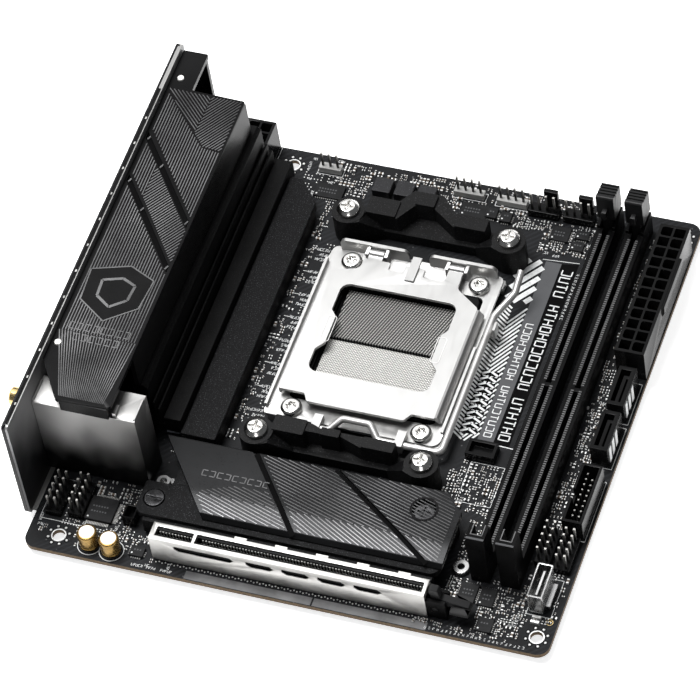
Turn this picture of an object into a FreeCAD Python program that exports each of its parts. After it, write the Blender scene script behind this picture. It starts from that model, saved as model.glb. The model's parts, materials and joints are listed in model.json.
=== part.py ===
"""Compact desktop motherboard, 170 mm square, as an assembly of separate pieces.

Every piece is drawn in board coordinates: x runs from the rear (port) edge to the front edge,
y from the expansion-slot edge to the opposite edge, z up from the top face of the circuit board.
Each piece is then placed so that the row's origin is the centre of the mounting hole in the
rear corner beside the expansion slot, on the underside of the circuit board.
"""
import FreeCAD, Part
import math
import os
import re

from FreeCAD import Placement, Rotation, Vector

os.makedirs("parts", exist_ok=True)
doc = FreeCAD.newDocument("motherboard")

# ---------------------------------------------------------------- driving dimensions
SIZES = {
    "board_side": 170.0,
    "board_thick": 1.6,
    "corner_radius": 4.0,
    "datum_x": 10.16,
    "datum_y": 6.17,
    "slot_pair": 154.94,
    "top_pair": 132.08,
    "top_hole_x": 33.02,
    "hole_rise": 157.48,
    "hole_radius": 1.98,
    "socket_x": 87.6,
    "socket_y": 96.85,
    "cooler_x": 54.0,
    "cooler_y": 90.0,
    "frame_screw_x": 42.8,
    "frame_screw_y": 59.6,
    "cooler_post": 2.5,
    "frame_post": 2.0,
    "post_gap": 0.15,
    "backplate_thick": 2.0,
    "plate_low": 6.3,
    "plate_thick": 1.1,
    "plate_hinge_y": 129.6,
    "plate_hinge_z": 6.6,
    "lever_wire": 1.15,
    "lever_rod_y": 61.2,
    "lever_rod_z": 4.6,
    "lever_arm_x": 117.4,
    "pin_gap": 0.08,
    "bracket_top": 10.8,
    "dimm_width": 6.0,
    "dimm_first": 139.6,
    "dimm_pitch": 9.45,
    "dimm_near": 21.3,
    "dimm_far": 155.7,
    "dimm_body": 8.0,
    "dimm_tall": 22.0,
    "dimm_pivot_y": 159.9,
    "dimm_pivot_z": 3.4,
    "pcie_left": 41.85,
    "pcie_long": 89.0,
    "pcie_near": 5.0,
    "pcie_wide": 6.2,
    "pcie_high": 11.2,
    "power_pitch": 4.2,
    "power_high": 12.8,
    "shield_near": 12.9,
    "shield_long": 158.75,
    "shield_low": -2.0,
    "shield_tall": 44.45,
    "shield_x": -2.8,
    "shield_thick": 0.8,
    "cover_top": 40.0,
    "cover_skin": 1.6,
    "slab_top": 7.0,
    "rail_top": 25.0,
    "armour_top": 11.0,
    "pin_pitch": 2.54,
}


def make_sheet():
    """Spreadsheet with one named cell for each driving dimension."""
    table = doc.addObject("Spreadsheet::Sheet", "sizes")
    for row, (name, value) in enumerate(SIZES.items(), start=1):
        table.set(f"A{row}", name)
        table.set(f"B{row}", str(value))
        table.setAlias(f"B{row}", name)
    doc.recompute()
    return table


sheet = make_sheet()


def size(name):
    """Value of one cell of the sheet."""
    return float(sheet.get(name))


def with_sheet(text):
    """Expression text with every cell name written as sizes.NAME."""
    return re.sub(r"[a-z_]+", lambda found: "sizes." + found.group(0)
                  if found.group(0) in SIZES else found.group(0), text)


# ---------------------------------------------------------------- small building functions
PIECES = []


def bind(feature, prop, value):
    """Set a length from a number, or bind it to the sheet from an expression."""
    if isinstance(value, str):
        feature.setExpression(prop, with_sheet(value))
    else:
        setattr(feature, prop, value)


def set_base(feature, base):
    """Put a feature at a place whose three values are numbers or expressions."""
    for axis, value in zip("xyz", base):
        text = value if isinstance(value, str) else f"{value:.6f}"
        feature.setExpression(f".Placement.Base.{axis}", with_sheet(text))


def block(low, dims):
    """Rectangular block from its low corner and its three side lengths."""
    feature = doc.addObject("Part::Box", "block")
    for prop, value in zip(("Length", "Width", "Height"), dims):
        bind(feature, prop, value)
    set_base(feature, low)
    return feature


TURNS = {"X": Rotation(Vector(0, 1, 0), 90), "Y": Rotation(Vector(1, 0, 0), -90), "Z": Rotation()}


def rod(low, radius, length, axis="Z"):
    """Round rod that starts at low and runs along an axis."""
    feature = doc.addObject("Part::Cylinder", "rod")
    bind(feature, "Radius", radius)
    bind(feature, "Height", length)
    feature.Placement = Placement(Vector(), TURNS[axis])
    set_base(feature, low)
    return feature


def fuse(parts):
    """One solid from overlapping parts."""
    if len(parts) == 1:
        return parts[0]
    feature = doc.addObject("Part::MultiFuse", "fuse")
    feature.Shapes = parts
    feature.Refine = False
    return feature


def cut(base, tools):
    """Base with every tool taken away."""
    feature = doc.addObject("Part::Cut", "cut")
    feature.Base = base
    feature.Tool = fuse(tools)
    feature.Refine = False
    return feature


def group(parts):
    """Several separate solids kept as one piece list."""
    feature = doc.addObject("Part::Compound", "group")
    feature.Links = parts
    return feature


def piece(feature, label):
    """Name a finished piece and carry it from board coordinates into the row's frame."""
    if feature.TypeId in ("Part::Box", "Part::Cylinder"):
        feature = group([feature])
    feature.Label = label
    set_base(feature, ("-datum_x", "-datum_y", "board_thick"))
    PIECES.append(feature)
    return feature


def new_body(label):
    """Empty body that is one finished piece."""
    body = doc.addObject("PartDesign::Body", "body")
    piece(body, label)
    return body


def corner_arcs(points):
    """Lines and arcs of a closed outline whose points are (x, y) or (x, y, corner radius)."""
    edges = []
    starts = []
    count = len(points)
    for index, point in enumerate(points):
        here = Vector(point[0], point[1], 0)
        before = Vector(*points[index - 1][:2], 0)
        after = Vector(*points[(index + 1) % count][:2], 0)
        radius = point[2] if len(point) > 2 else 0.0
        if not radius:
            starts.append((here, here))
            continue
        back = (before - here).normalize()
        ahead = (after - here).normalize()
        half = back.getAngle(ahead) / 2
        reach = radius / math.tan(half)
        centre = here + (back + ahead).normalize() * (radius / math.sin(half))
        middle = centre + (here - centre).normalize() * radius
        first = here + back * reach
        last = here + ahead * reach
        edges.append(Part.Arc(first, middle, last))
        starts.append((first, last))
    for index in range(count):
        leave = starts[index][1]
        arrive = starts[(index + 1) % count][0]
        if leave.distanceToPoint(arrive) > 1e-6:
            edges.append(Part.LineSegment(leave, arrive))
    return edges


def sketch_on(body, role, offset, outlines=(), circles=()):
    """Sketch on one origin plane of a body, moved along the plane's normal by offset."""
    sketch = body.newObject("Sketcher::SketchObject", "sketch")
    plane = [item for item in body.Origin.OriginFeatures if item.Role == role][0]
    sketch.AttachmentSupport = [(plane, "")]
    sketch.MapMode = "FlatFace"
    text = offset if isinstance(offset, str) else f"{offset:.6f}"
    sketch.setExpression(".AttachmentOffset.Base.z", with_sheet(text))
    for outline in outlines:
        for edge in corner_arcs(outline):
            sketch.addGeometry(edge, False)
    for x, y, radius in circles:
        sketch.addGeometry(Part.Circle(Vector(x, y, 0), Vector(0, 0, 1), radius), False)
    return sketch


def pad(body, sketch, length):
    """Material added along the sketch's normal."""
    feature = body.newObject("PartDesign::Pad", "pad")
    feature.Profile = sketch
    bind(feature, "Length", length)
    body.Tip = feature
    return feature


def pocket(body, sketch, length):
    """Material taken away against the sketch's normal, checked by volume."""
    doc.recompute()
    before = body.Shape.Volume
    feature = body.newObject("PartDesign::Pocket", "pocket")
    feature.Profile = sketch
    bind(feature, "Length", length)
    body.Tip = feature
    doc.recompute()
    if body.Shape.Volume >= before - 1e-6:
        raise RuntimeError(f"a pocket of {body.Label} cuts nothing")
    return feature


def lathe(profile, centre_x, centre_y):
    """Turned solid about an upright axis; the profile is (radius, height) points."""
    sketch = doc.addObject("Sketcher::SketchObject", "profile")
    for edge in corner_arcs(profile):
        sketch.addGeometry(edge, False)
    sketch.Placement = Placement(Vector(centre_x, centre_y, 0), Rotation(Vector(1, 0, 0), 90))
    feature = doc.addObject("Part::Revolution", "turned")
    feature.Source = sketch
    feature.Axis = Vector(0, 0, 1)
    feature.Base = Vector(centre_x, centre_y, 0)
    feature.Angle = 360
    feature.Solid = True
    return feature


def hexagon(centre_a, centre_b, across):
    """Outline of a hexagon from its centre and half its width across corners."""
    turns = [step * math.pi / 3 for step in range(6)]
    return [(centre_a + across * math.cos(turn), centre_b + across * math.sin(turn)) for turn in turns]


def prism(role, offset, outlines, length, circles=()):
    """Padded profile in a body of its own, used as one part of a fused or cut piece."""
    body = doc.addObject("PartDesign::Body", "prism")
    pad(body, sketch_on(body, role, offset, outlines, circles), length)
    return body


def box_outline(low_x, low_y, high_x, high_y, radius=0.0):
    """Rectangle outline with one corner radius."""
    corners = ((low_x, low_y), (high_x, low_y), (high_x, high_y), (low_x, high_y))
    return [(x, y, radius) for x, y in corners]


def around(cx, cy, step_x, step_y):
    """Four points of a rectangle about a centre."""
    return [(cx + sx * step_x / 2, cy + sy * step_y / 2) for sx in (-1, 1) for sy in (-1, 1)]


# ---------------------------------------------------------------- places used by several pieces
SOCKET = (size("socket_x"), size("socket_y"))
COOLER_HOLES = around(*SOCKET, size("cooler_x"), size("cooler_y"))
FRAME_HOLES = around(*SOCKET, size("frame_screw_x"), size("frame_screw_y"))
DIMM_STARTS = [size("dimm_first") + step * size("dimm_pitch") for step in range(2)]


# ---------------------------------------------------------------- circuit board and backplate
def circuit_board():
    """Glass-fibre board with four case holes and eight holes for the backplate's posts."""
    body = new_body("circuit_board")
    side = size("board_side")
    near = size("datum_y")
    far = near + size("hole_rise")
    rear = size("datum_x")
    case_holes = [(rear, near), (rear + size("slot_pair"), near),
                  (size("top_hole_x"), far), (size("top_hole_x") + size("top_pair"), far)]
    outline = box_outline(0, 0, side, side, size("corner_radius"))
    pad(body, sketch_on(body, "XY_Plane", "-board_thick", [outline]), "board_thick")
    circles = [(x, y, size("hole_radius")) for x, y in case_holes]
    circles += [(x, y, size("cooler_post") + size("post_gap")) for x, y in COOLER_HOLES]
    circles += [(x, y, size("frame_post") + size("post_gap")) for x, y in FRAME_HOLES]
    pocket(body, sketch_on(body, "XY_Plane", 0, circles=circles), "board_thick")


def backplate():
    """Steel plate under the socket with eight threaded posts that stand in the board."""
    body = new_body("backplate")
    x, y = SOCKET
    outer = box_outline(x - 33, y - 52, x + 33, y + 52, 7)
    window = box_outline(x - 16, y - 20, x + 16, y + 20, 4)
    low = "-board_thick - backplate_thick"
    pad(body, sketch_on(body, "XY_Plane", low, [outer, window]), "backplate_thick")
    posts = [(px, py, size("cooler_post")) for px, py in COOLER_HOLES]
    posts += [(px, py, size("frame_post")) for px, py in FRAME_HOLES]
    pad(body, sketch_on(body, "XY_Plane", "-board_thick", circles=posts), "board_thick - 0.2")
    bores = [(px, py, 1.6) for px, py in COOLER_HOLES] + [(px, py, 1.35) for px, py in FRAME_HOLES]
    pocket(body, sketch_on(body, "XY_Plane", -0.2, circles=bores), "board_thick")


# ---------------------------------------------------------------- processor socket
def socket_base():
    """Moulded socket housing with a shallow well for the processor's contact side."""
    body = new_body("socket_base")
    x, y = SOCKET
    pad(body, sketch_on(body, "XY_Plane", 0, [box_outline(x - 23.5, y - 25, x + 23.5, y + 25, 2)]), 4.6)
    well = box_outline(x - 20.2, y - 20.2, x + 20.2, y + 20.2, 0.8)
    pocket(body, sketch_on(body, "XY_Plane", 4.6, [well]), 2.0)


def socket_contacts():
    """Field of spring contacts, as two low blocks that stand on the floor of the well."""
    x, y = SOCKET
    halves = [block((x - 18.9, y + sign * 10.0 - 9.4, 2.6), (37.8, 18.8, 0.7)) for sign in (-1, 1)]
    piece(group(halves), "socket_contacts")


def socket_frame():
    """Steel frame round the socket: flat ring, raised side rails, hinge ears and lever loops."""
    x, y = SOCKET
    outer = [(x - 29.8, y - 33.2, 1), (x + 28.0, y - 33.2, 3), (x + 28.0, y + 35.5, 2),
             (x - 29.0, y + 35.5, 2), (x - 29.8, y + 30, 1)]
    inner = box_outline(x - 24.2, y - 25.6, x + 24.2, y + 26, 2)
    holes = [(px, py, 1.5) for px, py in FRAME_HOLES]
    ring = prism("XY_Plane", 2.6, [outer, inner], 1.1, circles=holes)
    parts = [ring]
    low, tall = 3.4, 2.3
    parts.append(block((x - 29.8, y - 31, low), (0.9, 60, tall)))
    parts.append(block((x + 27.1, y - 28, low), (0.9, 34, tall - 0.9)))
    for sx in (-1, 1):
        parts.append(block((x + sx * 27.2 - 1.2, y - 33.2, 0), (2.4, 3.0, 2.8)))
        parts.append(block((x + sx * 27.2 - 1.2, y + 31.5, 0), (2.4, 3.5, 2.8)))
    far = y + 34.4
    for left, right in ((x - 26.5, x - 3.4), (x + 3.4, x + 26.0)):
        shape = [(left, 3.4), (right, 3.4), (right, 8.6, 2.0), (left, 8.6, 2.0)]
        wall = prism("XZ_Plane", -(far + 1.1), [shape], 1.1)
        parts.append(wall)
    for centre in (-13.4, 13.4):
        for side in (-3.2, 3.2):
            parts.append(block((x + centre + side - 0.5, "plate_hinge_y - 1.4", 3.4),
                               (1.0, 4.4, "plate_hinge_z - 3.4 + 1.2")))
        parts.append(rod((x + centre - 3.5, "plate_hinge_y", "plate_hinge_z"), 0.7, 7.0, "X"))
    rod_loops = []
    for centre in (x - 11.2, x + 16.2):
        parts.append(block((centre - 1.4, "lever_rod_y - 1.9", 3.0), (2.8, 6.0, "lever_rod_z - 3.0 + 1.9")))
        rod_loops.append(rod((centre - 2, "lever_rod_y", "lever_rod_z"), "lever_wire + pin_gap", 4, "X"))
    parts.append(block((x + 26.0, y + 12.2, 2.6), (6.2, 3.4, 0.8)))
    parts.append(block((x + 31.4, y + 12.2, 2.6), (0.8, 3.4, 4.4)))
    piece(cut(fuse(parts), rod_loops), "socket_frame")


def load_plate():
    """Sprung steel plate that clamps the processor, hinged at the far side of the frame."""
    x, y = SOCKET
    near = y - 25.4
    outline = [(x - 16.6, near - 2.9, 1.0), (x + 15.3, near - 2.9, 1.0), (x + 17.2, near, 1.0),
               (x + 24.6, near, 0.5), (x + 24.6, y + 19.0, 1.5), (x + 15.9, y + 25.0, 2.5),
               (x + 15.9, y + 29.6, 0.6), (x + 11.0, y + 29.6, 0.6), (x + 11.0, y + 26.6, 1.2),
               (x + 3.6, y + 26.6, 1.0), (x + 3.6, y + 30.0, 0.6), (x - 3.0, y + 30.0, 0.6),
               (x - 3.0, y + 27.0, 0.8), (x - 8.0, y + 27.0, 0.8), (x - 8.0, y + 30.0, 0.6),
               (x - 16.9, y + 30.0, 0.6), (x - 16.9, y + 25.8, 2.5), (x - 26.2, y + 22.8, 1.0),
               (x - 26.2, near, 0.5), (x - 18.2, near, 1.0)]
    window = [(x - 20.6, y - 16.6, 3.2), (x - 20.6, y - 8.0, 1.0), (x - 18.3, y - 5.0, 0.8),
              (x - 18.3, y + 5.6, 0.8), (x - 20.4, y + 8.0, 0.8), (x - 20.4, y + 19.0, 3.2),
              (x + 18.2, y + 19.0, 3.2), (x + 18.2, y + 8.4, 0.8), (x + 16.6, y + 6.2, 0.8),
              (x + 16.6, y - 4.4, 0.8), (x + 19.4, y - 7.4, 0.8), (x + 19.4, y - 16.6, 3.2)]
    sheet_body = prism("XY_Plane", "plate_low", [outline, window], "plate_thick")
    parts = [sheet_body]
    low = size("plate_low")
    roll = [(x + 23.6, low + 1.1), (x + 23.6, low), (x + 25.6, low - 1.9), (x + 26.7, low - 1.9),
            (x + 26.7, low - 1.0), (x + 25.2, low + 0.9, 0.8)]
    side = prism("XZ_Plane", -(y + 18.5), [roll], 43.4)
    parts.append(side)
    parts.append(block((x - 26.8, near, low - 1.4), (0.8, 47.6, 2.5)))
    bores = []
    for centre in (-13.4, 13.4):
        parts.append(rod((x + centre - 2.4, "plate_hinge_y", "plate_hinge_z"), 1.5, 4.8, "X"))
        parts.append(block((x + centre - 2.4, "plate_hinge_y - 5.6", "plate_low"), (4.8, 5.6, "plate_thick")))
        bores.append(rod((x + centre - 3, "plate_hinge_y", "plate_hinge_z"), "0.7 + pin_gap", 6, "X"))
    parts.append(block((x - 1.4, y + 24.0, "plate_low + plate_thick - 0.1"), (3.0, 9.5, 1.0)))
    piece(cut(fuse(parts), bores), "load_plate")


def wire_run(points, bend):
    """Path of straight runs joined by round bends."""
    edges = []
    last = Vector(*points[0])
    for index in range(1, len(points) - 1):
        here = Vector(*points[index])
        back = (Vector(*points[index - 1]) - here).normalize()
        ahead = (Vector(*points[index + 1]) - here).normalize()
        half = back.getAngle(ahead) / 2
        first = here + back * (bend / math.tan(half))
        leave = here + ahead * (bend / math.tan(half))
        centre = here + (back + ahead).normalize() * (bend / math.sin(half))
        middle = centre + (here - centre).normalize() * bend
        edges.append(Part.LineSegment(last, first).toShape())
        edges.append(Part.Arc(first, middle, leave).toShape())
        last = leave
    edges.append(Part.LineSegment(last, Vector(*points[-1])).toShape())
    return Part.Wire(edges)


def load_lever():
    """Bent wire lever: rod with a crank, corner, long arm and raised handle."""
    x, y = SOCKET
    rod_y, rod_z = size("lever_rod_y"), size("lever_rod_z")
    arm_x = size("lever_arm_x")
    points = [(x - 15.5, rod_y, rod_z), (x - 7.2, rod_y, rod_z), (x - 3.6, rod_y + 4.0, rod_z + 2.0),
              (x + 5.6, rod_y + 4.0, rod_z + 2.0), (x + 9.2, rod_y, rod_z), (arm_x, rod_y, rod_z),
              (arm_x, y + 19.0, rod_z + 0.4), (arm_x + 4.6, y + 27.0, rod_z + 3.4),
              (arm_x + 4.9, y + 34.0, rod_z + 6.4)]
    path = doc.addObject("Part::Feature", "lever_path")
    path.Shape = wire_run(points, 2.2)
    section = doc.addObject("Part::Circle", "lever_section")
    bind(section, "Radius", "lever_wire")
    section.Placement = Placement(Vector(*points[0]), TURNS["X"])
    sweep = doc.addObject("Part::Sweep", "lever_wire")
    sweep.Sections = [section]
    sweep.Spine = (path, [])
    sweep.Solid = True
    sweep.Frenet = False
    piece(sweep, "load_lever")


def torx_recess(px, py, top):
    """Six-lobed drive recess."""
    lobes = [rod((px + 1.15 * math.cos(turn * math.pi / 3), py + 1.15 * math.sin(turn * math.pi / 3),
                  top - 1.1), 0.5, 2.0) for turn in range(6)]
    return lobes + [rod((px, py, top - 1.1), 1.15, 2.0)]


def socket_screws():
    """Four screws that hold the frame to the backplate."""
    screws = []
    for px, py in FRAME_HOLES:
        profile = [(0, -1.2), (1.25, -1.2), (1.25, 3.7), (3.4, 3.7), (3.4, 5.0, 0.5), (2.6, 5.6, 0.6),
                   (0, 5.6)]
        screws.append(cut(lathe(profile, px, py), torx_recess(px, py, 5.6)))
    piece(group(screws), "socket_screws")


# ---------------------------------------------------------------- cooler brackets
NEAR_HOOKS = ((-22.6, 10.4, 1.3, 5.8, 11.2), (-7.0, 6.2, 2.7, 2.8, 11.6), (6.8, 10.4, 1.4, 4.0, 11.2))
NEAR_BAR = ((-24.0, -0.7, 0.3), (24.0, -0.7, 0.3), (24.0, 5.0, 1), (-24.0, 5.0, 1))
NEAR_WALL = ((-22.6, 1.3), (-12.2, 1.3), (-12.0, 3.5), (-7.0, 3.5), (-7.0, 2.7), (-0.8, 2.7), (-0.8, 4.0),
             (6.6, 1.4), (17.2, 1.4), (17.2, 5.4), (-7.0, 5.4), (-12.2, 7.1), (-22.6, 7.1))
FAR_HOOKS = ((-21.4, 10.0, 0.3, 6.7, 11.2), (-6.6, 6.4, 6.7, 5.2, 11.6), (8.2, 10.4, 1.2, 5.1, 11.2))
FAR_BAR = ((-24.0, -0.7, 0.3), (24.0, -0.7, 0.3), (24.0, 6.4, 2), (7.0, 7.0, 1), (1.6, 13.0, 1),
           (-8.6, 13.0, 1), (-12.4, 7.0, 1), (-24.0, 6.4, 2))
FAR_WALL = ((-21.4, 0.3), (-10.8, 0.3), (-6.6, 6.7), (-0.2, 6.9), (8.0, 1.2), (18.6, 1.2), (18.6, 6.3),
            (7.0, 6.8), (1.4, 12.6), (-8.4, 12.6), (-12.2, 7.0), (-21.4, 7.0))


def boss_ramp(way):
    """Wedge that slopes down from a screw boss to the low bar; way is -1 or 1 along the rail."""
    top = size("bracket_top")
    plan = [(way * 15.5, -0.9), (way * 24.85, -4.96), (way * 24.85, 0.6), (way * 15.5, 0.6)]
    above = [(way * 15.0, 4.0), (way * 22.4, top), (way * 22.4, top + 1), (way * 15.0, top + 1)]
    return cut(prism("XY_Plane", 0.3, [plan], top - 0.5), [prism("XZ_Plane", -1.0, [above], 8.0)])


def cooler_bracket(label, side, bar, wall, hooks):
    """Moulded cooler rail: low bar, raised wall with three hooks, and two ramped screw bosses."""
    half = size("cooler_x") / 2
    parts = [prism("XY_Plane", 0.3, [bar], 3.9), prism("XY_Plane", 3.0, [wall], 7.6)]
    for way in (-1, 1):
        ring = [(way * half, 0, 5.4), (way * half, 0, 1.8)]
        parts += [prism("XY_Plane", 0, [], "bracket_top", circles=ring), boss_ramp(way)]
    for left, wide, near, deep, top in hooks:
        hook = box_outline(left, near, left + wide, near + deep, 0.4)
        parts.append(prism("XY_Plane", 3.0, [hook], top - 3.0))
    bracket = piece(fuse(parts), label)
    set_base(bracket, ("socket_x - datum_x", f"socket_y + {side} * cooler_y / 2 - datum_y", "board_thick"))


def bracket_screws():
    """Four pan-head screws with a cross recess, one at each cooler hole."""
    screws = []
    low = size("bracket_top")
    for px, py in COOLER_HOLES:
        profile = [(0, -1.2), (1.5, -1.2), (1.5, low), (3.7, low), (3.7, low + 1.1, 0.5),
                   (2.4, low + 2.3, 0.8), (0, low + 2.3)]
        cross = [block((px - 2.1, py - 0.42, low + 1.1), (4.2, 0.84, 2)),
                 block((px - 0.42, py - 2.1, low + 1.1), (0.84, 4.2, 2))]
        screws.append(cut(lathe(profile, px, py), cross))
    piece(group(screws), "bracket_screws")


# ---------------------------------------------------------------- memory slots
def dimm_slot(number, left):
    """Memory slot: long grooved body, tall fixed tower at the near end, two ears for the latch."""
    wide = size("dimm_width")
    near, far = size("dimm_near"), size("dimm_far")
    parts = [block((left, near, 0), ("dimm_width", far - near, "dimm_body")),
             block((left, near, 0), ("dimm_width", 6.0, "dimm_tall"))]
    for side in (left, left + wide - 1.1):
        parts.append(block((side, far - 0.5, 0), (1.1, 9.0, 9.6)))
    parts.append(block((left, far - 0.5, 0), ("dimm_width", 1.2, 3.0)))
    middle = left + wide / 2
    tools = [block((middle - 0.95, near + 3.2, 1.6), (1.9, 67.0, 30)),
             block((middle - 0.95, near + 71.6, 1.6), (1.9, far - near, 30)),
             block((middle - 1.6, near + 2.2, "dimm_body + 2"), (3.2, 6, 30)),
             rod((left - 1, "dimm_pivot_y", "dimm_pivot_z"), 0.9, "dimm_width + 2", "X")]
    piece(cut(fuse(parts), tools), f"dimm_slot_{number}")


def dimm_latch(number, left):
    """Ejector latch: narrow foot between the ears, wide ribbed thumb pad on top."""
    wide = size("dimm_width")
    pivot_y, pivot_z = size("dimm_pivot_y"), size("dimm_pivot_z")
    side = [(pivot_y - 2.2, 1.4, 0.8), (pivot_y + 2.4, 1.4, 1.2), (pivot_y + 3.6, 11.0),
            (pivot_y + 3.6, 21.0, 0.8), (pivot_y - 3.4, 22.2, 0.8), (pivot_y - 3.4, 10.6),
            (pivot_y - 2.2, 9.0)]
    foot = prism("YZ_Plane", left + 1.3, [side], wide - 2 * 1.3)
    head = [(pivot_y - 3.4, 11.6, 0.5), (pivot_y + 3.8, 11.6), (pivot_y + 3.8, 21.0, 0.8),
            (pivot_y - 3.4, 22.2, 0.8)]
    thumb = prism("YZ_Plane", left + 0.1, [head], wide - 0.2)
    pins = rod((left + 0.1, "dimm_pivot_y", "dimm_pivot_z"), 0.82, "dimm_width - 0.2", "X")
    ribs = [block((left - 1, pivot_y - 1.6 + 1.35 * step, 21.1 - 0.23 * step), (wide + 2, 0.55, 2))
            for step in range(4)]
    nose = block((left + wide / 2 - 0.7, pivot_y - 5.4, 14.0), (1.4, 3.0, 3.0))
    piece(cut(fuse([foot, thumb, pins, nose]), ribs), f"dimm_latch_{number}")


# ---------------------------------------------------------------- expansion slot
def pcie_slot():
    """Expansion slot core with a keyed groove and a forked end for the card latch."""
    left, near = size("pcie_left"), size("pcie_near")
    parts = [block((left + 0.7, near + 0.6, 0), ("pcie_long - 1.4", "pcie_wide - 1.2", "pcie_high - 0.5")),
             block((left + 88.0, near + 0.4, 0), (7.2, 1.2, 8.2)),
             block((left + 88.0, near + 4.6, 0), (7.2, 1.2, 8.2)),
             block((left + 88.0, near + 0.4, 0), (7.2, 5.4, 1.0))]
    middle = near + 3.1
    tools = [block((left + 2.0, middle - 0.9, 1.6), (11.2, 1.8, 12)),
             block((left + 15.0, middle - 0.9, 1.6), (72.4, 1.8, 12)),
             rod((left + 91.6, near - 1, 4.2), 0.9, 10, "Y")]
    piece(cut(fuse(parts), tools), "pcie_slot")


def pcie_armour():
    """Folded steel jacket round the slot with pointed windows in its near wall."""
    left, near = size("pcie_left"), size("pcie_near")
    wide, high = size("pcie_wide"), size("pcie_high")
    skin = 0.35
    shell = block((left, near, 0.2), ("pcie_long", "pcie_wide", "pcie_high - 0.2"))
    tools = [block((left + skin, near + skin, -1),
                   ("pcie_long - 0.7", "pcie_wide - 0.7", "pcie_high - 0.35 + 1")),
             block((left + 1.6, near + 1.35, 5), (12.0, wide - 2.7, 9)),
             block((left + 14.6, near + 1.35, 5), (73.2, wide - 2.7, 9)),
             block((left + 87.7, near + 0.35, -1), (3, wide - 0.7, 9.6))]
    spans = [(8.0, 27.5)] + [(31.5 + 11.6 * step, 40.5 + 11.6 * step) for step in range(4)]
    for start, stop in spans:
        middle = high - 3.4
        shape = [(left + start, middle - 0.2), (left + start + 1.4, middle - 1.2),
                 (left + stop - 1.4, middle - 1.2), (left + stop, middle),
                 (left + stop - 1.4, middle + 1.2), (left + start, middle + 1.2)]
        hole = prism("XZ_Plane", -(near + 0.8), [shape], 2.0)
        tools.append(hole)
    tabs = [block((left + 26 + 13.2 * step, near + wide - 0.1, high - 0.35), (4.0, 0.9, 0.35))
            for step in range(5)]
    piece(fuse([cut(shell, tools)] + tabs), "pcie_armour")


def pcie_latch():
    """Card latch on a cross pin: upright hook and a flat handle towards the front edge."""
    left, near = size("pcie_left"), size("pcie_near")
    base = left + 89.8
    shape = [(base, 2.4, 0.6), (base + 3.6, 2.4, 0.8), (base + 3.8, 5.6), (base + 12.6, 5.0, 0.5),
             (base + 12.6, 6.8, 0.5), (base + 3.6, 8.2, 1.0), (base + 3.0, 12.0, 0.6), (base, 12.4, 0.4),
             (base, 10.4), (base + 0.5, 9.6)]
    body = prism("XZ_Plane", -(near + 4.35), [shape], 2.5)
    paddle = block((base + 6.8, near - 0.4, 4.6), (6.0, 7.0, 1.4))
    pin = rod((left + 91.6, near + 0.5, 4.2), 0.82, 5.2, "Y")
    piece(fuse([body, paddle, pin]), "pcie_latch")


# ---------------------------------------------------------------- solid-state drive cover
CAPTIVE_SCREW = (37.6, 21.3)
COVER_SCREW = (121.0, 35.6)


def m2_heatsink():
    """Aluminium base under the drive cover, on two long walls and a thick left foot."""
    low, top = 6.0, 8.4
    plate = prism("XY_Plane", low, [[(33.0, 15.0, 3), (131.6, 15.0, 3), (131.6, 38.0, 1), (126.0, 43.4, 1),
                                     (42.6, 43.4, 0.5), (41.2, 27.4, 0.5), (33.0, 27.4, 1)]], top - low)
    foot_x, foot_y = CAPTIVE_SCREW
    end_x, end_y = COVER_SCREW
    parts = [plate, block((36.0, 13.6, 0.6), (94.0, 2.2, 6.2)),
             block((50.0, 41.2, 0), (72.0, 2.0, low + 0.2)),
             block((foot_x - 3.4, foot_y - 3.2, 0), (6.8, 6.4, low + 0.2)),
             block((125.6, 30.6, 0), (5.4, 6.4, low + 0.2))]
    tools = [rod((foot_x, foot_y, -1), 1.3, 12), rod((foot_x, foot_y, 7.4), 3.4, 4),
             rod((end_x, end_y, 4), 1.3, 8)]
    piece(cut(fuse(parts), tools), "m2_heatsink")


def m2_cover():
    """Bowed aluminium cover with a slanted left end, two diagonal grooves and a screw recess."""
    top = size("armour_top")
    profile = [(17.0, 8.4), (43.8, 8.4), (43.8, top, 0.6), (25.0, top, 30.0), (18.2, top - 0.9, 1.2),
               (17.0, 8.9, 0.3)]
    skin = prism("YZ_Plane", 33.8, [profile], 98.6)
    ends = [prism("XY_Plane", 6.0, [[(30, 10), (60.4, 10), (33.9, 44.2), (33.9, 50), (30, 50)]], 8.0),
            prism("XY_Plane", 6.0, [[(125.6, 44.5), (131.8, 37.4), (140, 37.4), (140, 50),
                                     (125.6, 50)]], 8.0)]
    for top_x, low_x, wide in ((61.8, 87.6, 2.2), (87.0, 133.4, 2.8)):
        groove = [(top_x, 44.5), (low_x, 12.0), (low_x + wide, 12.0), (top_x + wide, 44.5)]
        ends.append(prism("XY_Plane", top - 1.2, [groove], 3.0))
    ends.append(rod((*COVER_SCREW, 6), 3.8, 8))
    piece(cut(skin, ends), "m2_cover")


def m2_screws():
    """Slotted captive screw at the left foot and cross-head screw in the cover's recess."""
    foot_x, foot_y = CAPTIVE_SCREW
    end_x, end_y = COVER_SCREW
    captive = lathe([(0, 1.0), (1.2, 1.0), (1.2, 7.45), (3.2, 7.45), (3.2, 8.7, 0.3), (0, 8.7)],
                    foot_x, foot_y)
    recess = lathe([(0, 5.0), (1.2, 5.0), (1.2, 8.45), (3.4, 8.45), (3.4, 9.7, 0.4), (0, 9.7)], end_x, end_y)
    slots = [block((foot_x - 2.6, foot_y - 0.4, 8.2), (5.2, 0.8, 2)),
             block((end_x - 2.2, end_y - 0.4, 9.1), (4.4, 0.8, 2)),
             block((end_x - 0.4, end_y - 2.2, 9.1), (0.8, 4.4, 2))]
    piece(group([cut(captive, slots[:1]), cut(recess, slots[1:])]), "m2_screws")


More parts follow.
